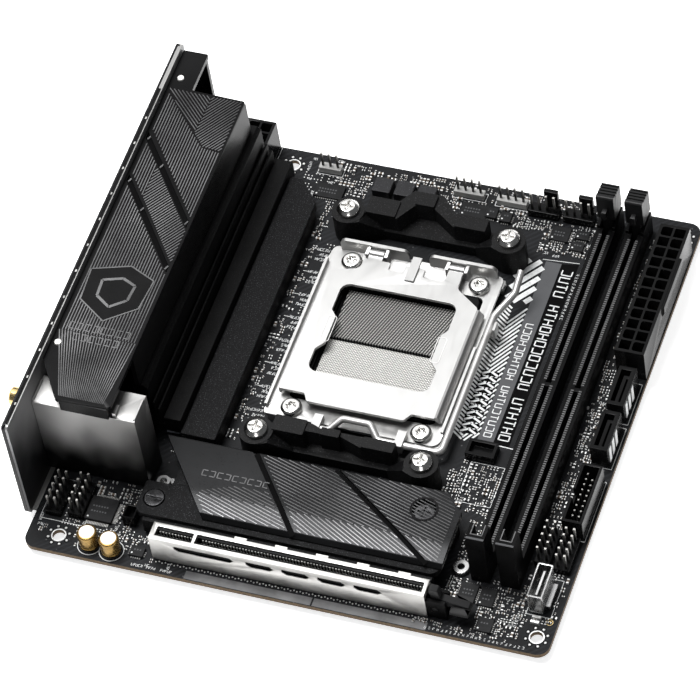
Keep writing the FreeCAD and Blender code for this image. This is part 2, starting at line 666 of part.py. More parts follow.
def m2_socket():
    """Keyed edge connector for the drive card."""
    shell = block((116.2, 17.6, 0), (8.0, 22.4, 4.2))
    tools = [block((115.0, 18.9, 2.3), (6.4, 19.8, 0.9)), block((115.0, 19.6, 3.1), (2.4, 18.4, 2))]
    piece(cut(shell, tools), "m2_socket")


def m2_standoffs():
    """Brass stud for the drive's free end, spring clip beside the cover and a spare stud."""
    stud = lathe([(1.0, 0), (2.75, 0), (2.75, 2.0), (1.8, 2.0), (1.8, 3.0), (1.0, 3.0)], 41.6, 29.5)
    spare = lathe([(1.1, 0), (2.7, 0), (2.7, 1.6, 0.4), (1.1, 1.6)], 135.5, 24.3)
    clip = fuse([block((33.2, 28.6, 0), (6.0, 5.6, 1.4)), rod((36.2, 31.4, 0), 2.2, 3.4)])
    clip = cut(clip, [rod((36.2, 31.4, 1.6), 1.1, 4)])
    piece(group([cut(stud, [block((36, 31.0, -1), (3.0, 9, 9))]), spare, clip]), "m2_standoffs")


def chipset():
    """Controller chip under the drive bay: package with a raised die."""
    package = block((72.0, 18.5, 0), (20.0, 20.0, 1.4))
    die = block((78.5, 25.0, 1.2), (7.0, 7.0, 1.2))
    piece(fuse([package, die]), "chipset")


# ---------------------------------------------------------------- power and data connectors
MAIN_POWER = (160.2, 106.5, 2, 12)
CPU_POWER = (8.7, 160.0, 4, 2)


def power_housing(low_x, low_y, columns, rows):
    """Upright power connector housing with one square cell for each contact."""
    pitch = size("power_pitch")
    wide = columns * pitch + 1.2
    deep = rows * pitch + 1.2
    shell = block((low_x, low_y, 0), (wide, deep, "power_high"))
    cells = []
    for column in range(columns):
        for row in range(rows):
            cx = low_x + 0.6 + (column + 0.5) * pitch
            cy = low_y + 0.6 + (row + 0.5) * pitch
            keyed = (column + row) % 2
            corner = 0.9 if keyed else 0.15
            half = 1.75
            outline = [(cx - half, cy - half, corner), (cx + half, cy - half, 0.15),
                       (cx + half, cy + half, 0.15), (cx - half, cy + half, corner)]
            cells.append(prism("XY_Plane", 1.8, [outline], 12))
    return shell, cells


def atx_power_socket():
    """Main power connector, two rows of twelve, with a latch ridge on the front side."""
    shell, cells = power_housing(*MAIN_POWER)
    front = MAIN_POWER[0] + 2 * size("power_pitch") + 1.0
    ridge = prism("XZ_Plane", -146.0, [[(front, 7.4), (front + 1.0, 9.6, 0.3),
                                        (front + 1.0, 12.6, 0.3), (front, 12.6)]], 20.0)
    piece(cut(fuse([shell, ridge]), cells), "atx_power_socket")


def cpu_power_socket():
    """Processor power connector, four by two."""
    shell, cells = power_housing(*CPU_POWER)
    piece(cut(shell, cells), "cpu_power_socket")


def power_pins():
    """Square contacts inside both power connectors."""
    pitch = size("power_pitch")
    pins = []
    for low_x, low_y, columns, rows in (MAIN_POWER, CPU_POWER):
        for column in range(columns):
            for row in range(rows):
                cx = low_x + 0.6 + (column + 0.5) * pitch
                cy = low_y + 0.6 + (row + 0.5) * pitch
                pins.append(block((cx - 0.5, cy - 0.5, 1.8), (1.0, 1.0, 6.6)))
    piece(group(pins), "power_pins")


def sata_port(number, low_y):
    """Upright drive connector with an L-shaped contact blade in its well."""
    shell = block((162.5, low_y, 0), (5.7, 15.0, 8.9))
    well = block((163.6, low_y + 1.3, 2.0), (3.1, 12.4, 9))
    blade = fuse([block((164.5, low_y + 2.2, 1.8), (1.2, 10.4, 5.6)),
                  block((164.5, low_y + 11.4, 1.8), (2.0, 1.2, 5.6))])
    piece(fuse([cut(shell, [well]), blade]), f"sata_port_{number}")


def usb3_header():
    """Shrouded twenty-way front-panel header."""
    shell = block((162.1, 43.2, 0), (6.6, 22.4, 8.9))
    tools = [block((163.0, 44.1, 1.6), (4.8, 20.6, 9)), block((161.6, 52.2, 5.2), (1.6, 3.4, 5))]
    pins = [block((164.1 + 2.0 * column, 45.0 + 2.0 * row, 1.6), (0.5, 0.5, 5.1))
            for column in range(2) for row in range(10)][:-1]
    piece(cut(shell, tools), "usb3_header")
    return pins


def usb_c_header():
    """Metal-shelled front-panel key header with a centre blade."""
    shell = prism("XY_Plane", 0, [box_outline(160.0, 14.2, 164.9, 26.8, 0.6)], 8.9)
    well = block((160.5, 14.7, 1.5), (3.9, 11.6, 9))
    blade = block((162.1, 16.0, 1.4), (0.8, 9.0, 6.2))
    lip = block((164.7, 16.2, 0), (1.6, 8.6, 2.2))
    piece(fuse([cut(shell, [well]), blade, lip]), "usb_c_header")


def strip(low_x, low_y, columns, rows, tall=2.5):
    """Header base and the low corners of its pins."""
    pitch = size("pin_pitch")
    base = block((low_x, low_y, 0), (columns * pitch, rows * pitch, tall))
    spots = [(low_x + (column + 0.5) * pitch, low_y + (row + 0.5) * pitch)
             for column in range(columns) for row in range(rows)]
    return base, spots


def pin_headers():
    """Unshrouded headers and their square pins: front panel, audio, lighting and fans."""
    pins = usb3_header()
    groups = {
        "front_panel_headers": [(156.6, 31.0, 2, 5), (163.0, 29.8, 2, 5)],
        "audio_headers": [(3.4, 12.6, 2, 5), (10.6, 13.4, 2, 5)],
        "lighting_headers": [(88.3, 163.4, 4, 1), (102.9, 163.0, 4, 1), (42.2, 162.8, 3, 1)],
    }
    for label, strips in groups.items():
        bases = []
        for low_x, low_y, columns, rows in strips:
            base, spots = strip(low_x, low_y, columns, rows)
            bases.append(base)
            pins += [block((px - 0.32, py - 0.32, 2.5), (0.64, 0.64, 6.0)) for px, py in spots]
        piece(group(bases), label)
    bases = []
    for low_x in (114.2, 125.9):
        base, spots = strip(low_x, 160.8, 4, 1, 3.2)
        guard = [block((low_x, 163.2, 0), (10.16, 1.6, 3.2)),
                 block((low_x + 5.2, 163.4, 3.0), (4.6, 1.4, 8.0))]
        bases.append(fuse([base] + guard))
        pins += [block((px - 0.32, py - 0.32, 3.2), (0.64, 0.64, 7.0)) for px, py in spots]
    piece(group(bases), "fan_headers")
    piece(group(pins), "header_pins")


def small_sockets():
    """Low shrouded connector beside the processor socket and the coin cell's two-way connector."""
    low = cut(block((124.0, 64.0, 0), (9.4, 6.0, 3.4)), [block((125.0, 65.0, 1.0), (7.4, 4.0, 5))])
    cell = cut(block((28.6, 14.6, 0), (4.0, 5.2, 4.6)), [block((29.2, 15.2, 1.2), (2.8, 4.0, 6))])
    piece(group([low, cell]), "small_sockets")


# ---------------------------------------------------------------- parts soldered to the board
def audio_capacitors():
    """Two can capacitors on their bases."""
    cans = []
    for px, py in ((20.9, 5.2), (28.3, 4.6)):
        can = lathe([(0, 0), (3.15, 0), (3.15, 1.0, 0.3), (2.95, 1.35, 0.2), (3.15, 1.7, 0.2),
                     (3.15, 6.8, 0.6), (0, 6.8)], px, py)
        cans.append(can)
    piece(group(cans), "audio_capacitors")


CHIPS = ((16.0, 13.6, 8.8, 8.8, 1.3), (92.4, 155.6, 9.0, 5.6, 1.0), (43.6, 152.6, 9.6, 5.4, 1.0),
         (123.6, 152.8, 6.2, 5.6, 1.0), (131.6, 154.8, 4.4, 3.4, 1.2), (131.2, 150.0, 4.4, 3.4, 1.2),
         (137.4, 13.4, 5.6, 6.2, 1.0), (144.0, 12.6, 5.0, 6.6, 1.0), (146.2, 3.6, 5.0, 5.0, 1.0),
         (100.8, 156.6, 3.8, 3.8, 1.4), (105.8, 156.0, 3.8, 3.8, 1.4), (34.2, 4.0, 4.6, 3.6, 1.2))


def board_chips():
    """Flat integrated circuits on the top face."""
    piece(group([block((x, y, 0), (dx, dy, dz)) for x, y, dx, dy, dz in CHIPS]), "board_chips")


def power_chokes():
    """Moulded inductors beside the top cooler bracket."""
    piece(group([block((62.4 + 7.4 * step, 157.0, 0), (6.2, 6.0, 3.4)) for step in range(3)]), "power_chokes")


def vrm_chokes():
    """Row of voltage-regulator inductors under the heatsink slab."""
    piece(group([block((38.6, 52.0 + 11.4 * step, 0), (7.6, 8.6, 3.3)) for step in range(8)]), "vrm_chokes")


def vrm_transistors():
    """Row of power stages under the heatsink rails."""
    stages = [block((30.4, 53.0 + 11.4 * step, 0), (5.4, 6.6, 1.1)) for step in range(8)]
    piece(group(stages), "vrm_transistors")


def thermal_pads():
    """Heat-conducting strips under both heatsink parts and under the drive cover's base."""
    strips = [block((30.0, 51.0, 1.1), (6.2, 92.0, 2.3)), block((38.4, 51.0, 3.3), (8.0, 92.0, 0.7)),
              block((46.0, 19.0, 4.6), (66.0, 20.0, 1.4))]
    piece(group(strips), "thermal_pads")


# ---------------------------------------------------------------- heatsink and port cover
def vrm_heatsink():
    """Extruded aluminium heatsink: tall rail, three thin fins and a low rail on one foot."""
    rail = size("rail_top")
    profile = [(22.3, 3.4), (36.2, 3.4), (36.2, 10.0, 0.3), (30.4, 10.0, 0.3), (30.4, 6.4), (29.8, 6.4),
               (29.8, 14.0), (29.1, 14.0), (29.1, 6.4), (28.5, 6.4), (28.5, 17.0), (27.8, 17.0), (27.8, 6.4),
               (27.2, 6.4), (27.2, rail - 1.2), (26.0, rail, 0.2), (22.3, rail, 0.2)]
    piece(prism("XZ_Plane", -157.4, [profile], 107.4), "vrm_heatsink")


def vrm_slab():
    """Low textured slab of the heatsink beside the socket, with one far corner cut off."""
    top = size("slab_top")
    outline = [(36.4, 47.6, 0.4), (48.0, 47.6, 0.6), (48.0, 145.1, 0.6), (40.5, 153.6, 0.6),
               (36.4, 153.6, 0.4)]
    slab = prism("XY_Plane", 4.0, [outline], top - 4.0)
    rims = [block((46.8, 49.0, 0.5), (1.2, 94.0, 4.0)), block((37.2, 144.0, 0), (3.2, 6.0, 4.2))]
    piece(fuse([slab] + rims), "vrm_slab")


def io_cover():
    """Metal cover over the rear ports, with a tapered near end, a far tab and two diagonal slits."""
    top, skin = size("cover_top"), size("cover_skin")
    outline = [(-1.85, 42.4, 0.8), (7.2, 28.9, 1.2), (25.0, 29.4, 1.2), (25.0, 154.6, 0.8),
               (6.6, 155.2, 0.8), (6.6, 170.8, 0.5), (-1.85, 170.8, 0.5)]
    roof = prism("XY_Plane", top - skin, [outline], skin)
    parts = [roof, block((23.6, 49.6, size("rail_top") + 0.4), (1.4, 105.0, top - skin - size("rail_top"))),
             block((8.2, 28.9, 34.4), (15.8, 1.4, 4.6)), block((7.4, 153.4, 13.4), (14.4, 1.4, 25.4)),
             block((-1.85, 168.2, 14.0), (8.45, 1.4, 25.0))]
    tools = []
    for far_y, near_y in ((134.6, 102.6), (116.8, 84.3)):
        slit = [(-1.2, far_y + 1.2), (-1.2, far_y - 1.6), (24.0, near_y - 1.4), (24.0, near_y + 1.4)]
        tools.append(prism("XY_Plane", top - 0.9, [slit], 2.0))
    tools += [rod((1.2, 159.4, 30), 1.4, 12), rod((0.4, 49.6, 30), 1.4, 12)]
    piece(cut(fuse(parts), tools), "io_cover")


# ---------------------------------------------------------------- rear ports
PORTS_X = -3.6
PORT_GAP = 0.35


def usb_a_mouth(low_y, low_z):
    """Mouth of one flat USB port: cavity box and the tongue inside it."""
    cavity = block((PORTS_X - 1, low_y, low_z), (14.0, 12.5, 5.1))
    tongue = block((PORTS_X + 1.0, low_y + 0.8, low_z + 2.9), (12.2, 10.9, 1.5))
    return cavity, tongue


def lan_usb_port():
    """Network jack above two flat USB ports in one metal can."""
    low = 51.2
    can = block((PORTS_X, low, 0), (20.4, 16.4, 29.0))
    jack = [block((PORTS_X - 1, low + 2.3, 17.6), (13.0, 11.8, 7.0)),
            block((PORTS_X - 1, low + 5.2, 15.6), (11.0, 6.0, 3.0))]
    mouths = [usb_a_mouth(low + 1.9, z) for z in (1.4, 8.4)]
    tools = jack + [cavity for cavity, tongue in mouths]
    piece(fuse([cut(can, tools)] + [tongue for cavity, tongue in mouths]), "lan_usb_port")


def usb_port_stack():
    """Two flat USB ports, one above the other, in one metal can."""
    low = 70.6
    can = block((PORTS_X, low, 0), (17.4, 14.6, 16.0))
    mouths = [usb_a_mouth(low + 1.05, z) for z in (1.6, 9.2)]
    shell = cut(can, [cavity for cavity, tongue in mouths])
    piece(fuse([shell] + [tongue for cavity, tongue in mouths]), "usb_port_stack")


def usb_c_port():
    """Round-ended USB port under a flat one in one metal can."""
    low = 88.2
    can = block((PORTS_X, low, 0), (16.4, 14.6, 16.0))
    cavity, tongue = usb_a_mouth(low + 1.05, 9.2)
    slot = prism("YZ_Plane", PORTS_X - 1, [box_outline(low + 2.8, 2.2, low + 11.8, 5.4, 1.5)], 8.0)
    blade = block((PORTS_X + 0.8, low + 4.2, 3.4), (7.0, 6.2, 0.75))
    piece(fuse([cut(can, [cavity, slot]), tongue, blade]), "usb_c_port")


def video_ports():
    """Two display ports of different outline, one above the other."""
    low = 106.2
    can = block((PORTS_X, low, 0), (17.0, 17.6, 18.4))
    lower = [(low + 0.9, 2.2, 0.3), (low + 14.6, 2.2, 0.3), (low + 16.7, 4.0, 0.3), (low + 16.7, 7.4, 0.3),
             (low + 0.9, 7.4, 0.3)]
    upper = [(low + 3.4, 10.8, 0.3), (low + 14.2, 10.8, 0.3), (low + 15.9, 13.0, 0.3),
             (low + 15.9, 15.6, 0.3), (low + 1.7, 15.6, 0.3), (low + 1.7, 13.0, 0.3)]
    wells = [prism("YZ_Plane", PORTS_X - 1, [shape], 11.0) for shape in (lower, upper)]
    blades = [block((PORTS_X + 1.0, low + 3.2, 4.4), (9.2, 10.6, 1.2)),
              block((PORTS_X + 1.0, low + 3.6, 13.0), (9.2, 10.4, 1.0))]
    piece(fuse([cut(can, wells)] + blades), "video_ports")


def audio_jacks():
    """Block of three round jacks, one above another."""
    low = 136.0
    parts = [block((PORTS_X + 1.7, low, 0), (13.1, 12.4, 36.6))]
    tools = []
    for step in range(3):
        middle = 6.4 + 11.8 * step
        parts.append(rod((PORTS_X, low + 6.2, middle), 4.0, 2.0, "X"))
        tools.append(rod((PORTS_X - 1, low + 6.2, middle), 1.78, 13.0, "X"))
    piece(cut(fuse(parts), tools), "audio_jacks")


def flashback_switch():
    """Small tactile switch with a sleeve that guides the rear button."""
    body = block((1.6, 126.4, 0), (5.6, 6.6, 6.8))
    tool = [block((0, 128.1, 2.6), (4.4, 3.2, 2.6))]
    piece(cut(body, tool), "flashback_switch")


def flashback_button():
    """Push button that reaches from the switch to just outside the rear plate."""
    parts = [block((-4.4, 128.4, 2.9), (7.2, 2.6, 2.0)), rod((-4.4, 129.7, 3.9), 1.9, 3.4, "X")]
    piece(fuse(parts), "flashback_button")


ANTENNA_Y, ANTENNA_HEIGHTS = 35.25, (13.0, 27.0)


def wifi_housing():
    """Bright metal can over the upright radio card, folded from one sheet."""
    outer = block((-1.9, 29.9, 0.3), (33.9, 10.7, 33.7))
    skin = 0.6
    tools = [block((-1.9 + skin, 29.9 + skin, -1), (33.9 - 2 * skin, 10.7 - 2 * skin, 34.4))]
    lips = [block((-1.9, 30.5, 34.0), (0.6, 8.0, 0.7)), block((31.4, 30.5, 34.0), (0.6, 8.2, 0.7)),
            block((24.6, 30.6, 34.0), (1.2, 3.6, 1.6))]
    bores = [rod((-4, ANTENNA_Y, low), 3.45, 5, "X") for low in ANTENNA_HEIGHTS]
    piece(cut(fuse([cut(outer, tools)] + lips), bores), "wifi_housing")


def wifi_module():
    """Radio card that stands on end in its socket inside the bright can."""
    card = block((2.4, 36.2, 3.4), (22.0, 0.9, 28.0))
    chip = block((4.4, 34.2, 9.0), (18.0, 2.1, 16.0))
    foot = block((2.0, 34.4, 0), (22.8, 4.6, 5.4))
    foot = cut(foot, [block((2.3, 36.0, 3.0), (22.2, 1.3, 4))])
    piece(group([fuse([card, chip]), foot]), "wifi_module")


def antenna_connectors():
    """Two threaded coaxial sockets with hexagon nuts, one above the other."""
    sockets = []
    for low in ANTENNA_HEIGHTS:
        barrel = lathe([(0.7, -12.0), (2.6, -12.0), (3.1, -11.4), (3.1, 1.2), (0.7, 1.2)], 0, 0)
        barrel.Placement = Placement(Vector(0, ANTENNA_Y, low), Rotation(Vector(0, 1, 0), 90))
        nut = prism("YZ_Plane", -5.4, [hexagon(ANTENNA_Y, low, 4.1)], 1.5, circles=[(ANTENNA_Y, low, 2.9)])
        sockets.append(fuse([barrel, nut]))
    piece(group(sockets), "antenna_connectors")


PORT_HOLES = ((51.2, 0.0, 16.4, 29.0), (70.6, 0.0, 14.6, 16.0), (88.2, 0.0, 14.6, 16.0),
              (106.2, 0.0, 17.6, 18.4))


def io_plate(x_low, thick):
    """Rear plate blank with an opening for every port, button and antenna socket."""
    near, long = size("shield_near"), size("shield_long")
    low_z = size("shield_low")
    outline = box_outline(near, low_z, near + long, low_z + size("shield_tall"), 1.2)
    plate = prism("YZ_Plane", x_low, [outline], thick)
    tools = [block((x_low - 1, low - PORT_GAP, z - PORT_GAP),
                   (thick + 2, wide + 2 * PORT_GAP, tall + 2 * PORT_GAP))
             for low, z, wide, tall in PORT_HOLES]
    tools += [rod((x_low - 1, 142.2, 6.4 + 11.8 * step), 4.3, thick + 2, "X") for step in range(3)]
    tools += [rod((x_low - 1, ANTENNA_Y, low), 3.45, thick + 2, "X") for low in ANTENNA_HEIGHTS]
    tools.append(rod((x_low - 1, 129.7, 3.9), 2.3, thick + 2, "X"))
    return plate, tools


def io_shield():
    """Steel rear plate with a folded lip along its top edge and a ledge under the board's edge."""
    plate, tools = io_plate(size("shield_x"), size("shield_thick"))
    near, long = size("shield_near"), size("shield_long")
    low = size("shield_low")
    top = low + size("shield_tall")
    lip = block(("shield_x - 0.5", near + 1.5, top - 0.7), (1.3, long - 3.0, 0.7))
    ledge = block(("shield_x", near + 1.5, low), (2.65, long - 3.0, 0.9))
    piece(cut(fuse([plate, lip, ledge]), tools), "io_shield")


def io_trim():
    """Black outer trim of the rear plate with a raised rim that seals against the case."""
    plate, tools = io_plate(size("shield_x") - 0.9, 0.85)
    near, long = size("shield_near"), size("shield_long")
    low, tall = size("shield_low"), size("shield_tall")
    rim = prism("YZ_Plane", size("shield_x") - 1.3, [box_outline(near, low, near + long, low + tall, 1.2),
                                                    box_outline(near + 1.3, low + 1.3, near + long - 1.3,
                                                                low + tall - 1.3, 0.8)], 1.25)
    tools.append(block(("shield_x - 0.6", near, low + tall - 0.8), (4, long, 2)))
    piece(cut(fuse([plate, rim]), tools), "io_trim")


def cmos_battery():
    """Wrapped coin cell that lies on top of the port cans under the cover."""
    cell = rod((8.6, 96.0, 16.3), 10.2, 4.0)
    piece(cell, "cmos_battery")


# ---------------------------------------------------------------- build and write
def check_features():
    """Stop if any feature failed or any piece is empty or invalid."""
    failed = [item.Name for item in doc.Objects if "Invalid" in item.State or "Error" in item.State]
    if failed:
        raise RuntimeError(f"features failed: {failed}")
    for feature in PIECES:
        if feature.Shape.isNull() or not feature.Shape.isValid() or not feature.Shape.Solids:
            raise RuntimeError(f"piece {feature.Label} has no valid solid")


BUILDERS = (circuit_board, backplate, socket_base, socket_contacts, socket_frame, load_plate, load_lever,
            socket_screws, bracket_screws, pcie_slot, pcie_armour, pcie_latch, m2_heatsink, m2_cover,
            m2_screws, m2_socket, m2_standoffs, chipset, atx_power_socket, cpu_power_socket, power_pins,
            usb_c_header, pin_headers, small_sockets, audio_capacitors, board_chips, power_chokes, vrm_chokes,
            vrm_transistors, thermal_pads, vrm_heatsink, vrm_slab, io_cover, lan_usb_port, usb_port_stack,
            usb_c_port, video_ports, audio_jacks, flashback_switch, flashback_button, wifi_housing,
            wifi_module, antenna_connectors, io_shield, io_trim, cmos_battery)

for builder in BUILDERS:
    builder()
cooler_bracket("cooler_bracket_near", -1, NEAR_BAR, NEAR_WALL, NEAR_HOOKS)
cooler_bracket("cooler_bracket_far", 1, FAR_BAR, FAR_WALL, FAR_HOOKS)
for number, start in enumerate(DIMM_STARTS, start=1):
    dimm_slot(number, start)
    dimm_latch(number, start)
for number, low_y in enumerate((88.9, 71.4), start=1):
    sata_port(number, low_y)

doc.recompute()
check_features()
for feature in PIECES:
    feature.Shape.exportStep(f"parts/{feature.Label}.step")
print(len(PIECES), "pieces written")
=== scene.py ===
"""Looks of a compact desktop motherboard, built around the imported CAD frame."""
import json
import math
import random

import bmesh
import bpy
from mathutils import Matrix, Vector
from mathutils.bvhtree import BVHTree

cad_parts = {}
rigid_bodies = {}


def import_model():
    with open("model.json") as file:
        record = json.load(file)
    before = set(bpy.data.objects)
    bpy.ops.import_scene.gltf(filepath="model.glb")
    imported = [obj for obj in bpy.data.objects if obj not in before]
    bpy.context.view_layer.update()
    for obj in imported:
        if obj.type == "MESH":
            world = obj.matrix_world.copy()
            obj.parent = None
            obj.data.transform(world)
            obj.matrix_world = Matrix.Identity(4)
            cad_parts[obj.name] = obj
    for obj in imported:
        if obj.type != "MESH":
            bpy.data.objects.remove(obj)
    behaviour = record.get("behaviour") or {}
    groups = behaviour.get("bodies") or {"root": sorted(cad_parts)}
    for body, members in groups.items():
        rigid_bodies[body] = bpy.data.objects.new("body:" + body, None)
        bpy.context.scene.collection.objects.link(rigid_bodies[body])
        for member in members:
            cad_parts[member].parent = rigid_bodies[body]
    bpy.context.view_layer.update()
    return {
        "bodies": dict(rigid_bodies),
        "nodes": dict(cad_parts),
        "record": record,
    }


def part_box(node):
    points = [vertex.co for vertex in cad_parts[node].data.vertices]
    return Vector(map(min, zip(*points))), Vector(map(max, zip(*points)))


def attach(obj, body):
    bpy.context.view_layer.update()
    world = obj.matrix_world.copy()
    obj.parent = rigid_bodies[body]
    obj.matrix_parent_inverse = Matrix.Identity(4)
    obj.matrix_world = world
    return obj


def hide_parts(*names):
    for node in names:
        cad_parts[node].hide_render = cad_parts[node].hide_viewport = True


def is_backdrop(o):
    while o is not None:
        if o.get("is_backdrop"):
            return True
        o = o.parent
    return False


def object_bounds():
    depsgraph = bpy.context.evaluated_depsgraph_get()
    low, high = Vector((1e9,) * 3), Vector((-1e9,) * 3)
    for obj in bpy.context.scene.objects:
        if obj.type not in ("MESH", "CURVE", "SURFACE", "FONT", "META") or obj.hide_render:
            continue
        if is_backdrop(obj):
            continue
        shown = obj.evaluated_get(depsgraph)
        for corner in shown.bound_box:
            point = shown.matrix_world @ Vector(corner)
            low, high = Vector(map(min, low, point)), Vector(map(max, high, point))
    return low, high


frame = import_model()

MM = 0.001
NODES = frame["nodes"]
BODY_OF = {node: body for body, empty in frame["bodies"].items()
           for node, thing in NODES.items() if thing.parent == empty}
BOARD_LOW, BOARD_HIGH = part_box("circuit_board")
ORIGIN = Vector((BOARD_LOW.x, BOARD_LOW.y, BOARD_HIGH.z))
dice = random.Random(7)


def span(node):
    """Low and high corner of a CAD node in millimetres from the board's rear near top corner."""
    low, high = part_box(node)
    return tuple((low - ORIGIN) / MM), tuple((high - ORIGIN) / MM)


def islands(node):
    """Low and high corners of each separate solid of a CAD node, in board millimetres."""
    mesh = NODES[node].data
    keys = {}
    parent = []
    index = []
    for vertex in mesh.vertices:
        key = tuple(round(c * 1e6) for c in vertex.co)
        if key not in keys:
            keys[key] = len(parent)
            parent.append(len(parent))
        index.append(keys[key])

    def root(i):
        while parent[i] != i:
            parent[i] = parent[parent[i]]
            i = parent[i]
        return i

    for face in mesh.polygons:
        first = root(index[face.vertices[0]])
        for other in face.vertices[1:]:
            parent[root(index[other])] = first
    boxes = {}
    for key, i in keys.items():
        point = (Vector(key) * 1e-6 - ORIGIN) / MM
        low, high = boxes.setdefault(root(i), (list(point), list(point)))
        for axis in range(3):
            low[axis] = min(low[axis], point[axis])
            high[axis] = max(high[axis], point[axis])
    return sorted(boxes.values(), key=lambda b: (round(b[0][0], 2), round(b[0][1], 2)))


# -------- materials
class Tree:
    """A material's node tree with short helpers."""

    def __init__(self, name):
        self.material = bpy.data.materials.new(name)
        self.material.use_nodes = True
        self.tree = self.material.node_tree
        self.shader = self.tree.nodes["Principled BSDF"]
        self.place = self.node("ShaderNodeTexCoord").outputs["Object"]

    def node(self, kind, **settings):
        made = self.tree.nodes.new(kind)
        for key, value in settings.items():
            setattr(made, key, value)
        return made

    def put(self, socket, value):
        if isinstance(value, bpy.types.NodeSocket):
            self.tree.links.new(value, socket)
        else:
            socket.default_value = value

    def noise(self, size_mm, detail=3.0, stretch=(1, 1, 1)):
        scaled = self.node("ShaderNodeMapping")
        scaled.inputs["Scale"].default_value = stretch
        self.put(scaled.inputs["Vector"], self.place)
        made = self.node("ShaderNodeTexNoise")
        made.inputs["Scale"].default_value = 1.0 / (size_mm * MM)
        made.inputs["Detail"].default_value = detail
        made.inputs["Roughness"].default_value = 0.55
        self.put(made.inputs["Vector"], scaled.outputs["Vector"])
        return made.outputs["Fac"]

    def ramp(self, value, low, high, to_low=0.0, to_high=1.0):
        made = self.node("ShaderNodeMapRange")
        ends = {"From Min": low, "From Max": high, "To Min": to_low, "To Max": to_high}
        for key, number in ends.items():
            made.inputs[key].default_value = number
        self.put(made.inputs["Value"], value)
        return made.outputs["Result"]

    def math(self, operation, a, b=0.0):
        made = self.node("ShaderNodeMath", operation=operation)
        self.put(made.inputs[0], a)
        self.put(made.inputs[1], b)
        return made.outputs["Value"]

    def mix(self, fac, a, b):
        made = self.node("ShaderNodeMix", data_type="RGBA")
        self.put(made.inputs["Factor"], fac)
        self.put(made.inputs[6], a if isinstance(a, bpy.types.NodeSocket) else (*a, 1.0))
        self.put(made.inputs[7], b if isinstance(b, bpy.types.NodeSocket) else (*b, 1.0))
        return made.outputs[2]

    def axis(self, name):
        made = self.node("ShaderNodeSeparateXYZ")
        self.put(made.inputs[0], self.place)
        return made.outputs[name]

    def face_normal(self):
        made = self.node("ShaderNodeSeparateXYZ")
        self.put(made.inputs[0], self.node("ShaderNodeNewGeometry").outputs["Normal"])
        return made

    def bump(self, height, depth_mm):
        made = self.node("ShaderNodeBump")
        made.inputs["Distance"].default_value = depth_mm * MM
        self.put(made.inputs["Height"], height)
        self.put(self.shader.inputs["Normal"], made.outputs["Normal"])


def shade(color, factor):
    return tuple(min(1.0, c * factor) for c in color)


ROUGH_SPREAD = 0.25
GLINT_GAIN = 12.0


def finish(name, color, rough, metal=0.0, grain=0.25, depth=0.02, mottle=0.18, mottle_size=7.0,
           stretch=(1, 1, 1), sparkle=0.0, sparkle_size=0.35, spec=0.25):
    """Procedural surface: mottled colour, uneven roughness, fine grain and optional bright painted glints."""
    t = Tree(name)
    patches = t.noise(mottle_size, 4.0, stretch)
    base = t.mix(t.ramp(patches, 0.3, 0.7), shade(color, 1 - mottle), shade(color, 1 + mottle))
    if sparkle:
        # painted glints: small noise dots take the base colour made many times brighter
        glint_specks = t.ramp(t.noise(sparkle_size, 1.0), 0.62, 0.72)
        base = t.mix(t.math("MULTIPLY", glint_specks, sparkle), base, shade(color, GLINT_GAIN))
    t.put(t.shader.inputs["Base Color"], base)
    fine = t.noise(grain, 2.0, stretch)
    smooth, coarse = rough * (1 - ROUGH_SPREAD), min(1.0, rough * (1 + ROUGH_SPREAD))
    uneven = t.math("ADD", patches, fine)
    t.put(t.shader.inputs["Roughness"], t.ramp(uneven, 0.6, 1.4, smooth, coarse))
    t.shader.inputs["Metallic"].default_value = metal
    t.shader.inputs["Specular IOR Level"].default_value = spec
    t.bump(fine, depth)
    return t.material


def board_finish():
    """Solder mask with faint tracks and plated vias, brown glass fibre at the cut edges."""
    track_pitch, via_pitch = 5.2, 3.4
    t = Tree("solder_mask")
    patches = t.ramp(t.noise(9.0, 4.0), 0.3, 0.7)
    mask = t.mix(patches, (0.006, 0.0063, 0.0072), (0.011, 0.0117, 0.0135))
    turned = t.node("ShaderNodeMapping")
    turned.inputs["Rotation"].default_value = (0, 0, math.radians(45))
    t.put(turned.inputs["Vector"], t.place)
    wave = t.node("ShaderNodeTexWave")
    wave.inputs["Scale"].default_value = 1.0 / (track_pitch * MM)
    wave.inputs["Distortion"].default_value = 2.0
    wave.inputs["Detail"].default_value = 0.0
    wave.inputs["Detail Scale"].default_value = 0.3
    t.put(wave.inputs["Vector"], turned.outputs["Vector"])
    where = t.ramp(t.noise(14.0, 1.0), 0.46, 0.52)
    tracks = t.math("MULTIPLY", t.ramp(wave.outputs["Fac"], 0.55, 0.7), where)
    copper = t.mix(t.math("MULTIPLY", tracks, 0.55), mask, (0.022, 0.0235, 0.027))
    cells = t.node("ShaderNodeTexVoronoi")
    cells.inputs["Scale"].default_value = 1.0 / (via_pitch * MM)
    t.put(cells.inputs["Vector"], t.place)
    ring = t.ramp(cells.outputs["Distance"], 0.11, 0.08)
    dots = t.mix(t.math("MULTIPLY", ring, 0.5), copper, (0.16, 0.16, 0.165))
    upright = t.ramp(t.math("ABSOLUTE", t.face_normal().outputs["Z"]), 0.5, 0.4)
    plies = t.ramp(t.noise(1.0, 2.0, (1, 1, 6)), 0.35, 0.65)
    layers = t.mix(plies, (0.055, 0.036, 0.018), (0.17, 0.11, 0.055))
    t.put(t.shader.inputs["Base Color"], t.mix(upright, dots, layers))
    t.put(t.shader.inputs["Roughness"], t.ramp(t.noise(2.0, 2.0), 0.3, 0.7, 0.42, 0.55))
    t.shader.inputs["Specular IOR Level"].default_value = 0.14
    t.bump(t.math("ADD", tracks, ring), 0.03)
    return t.material


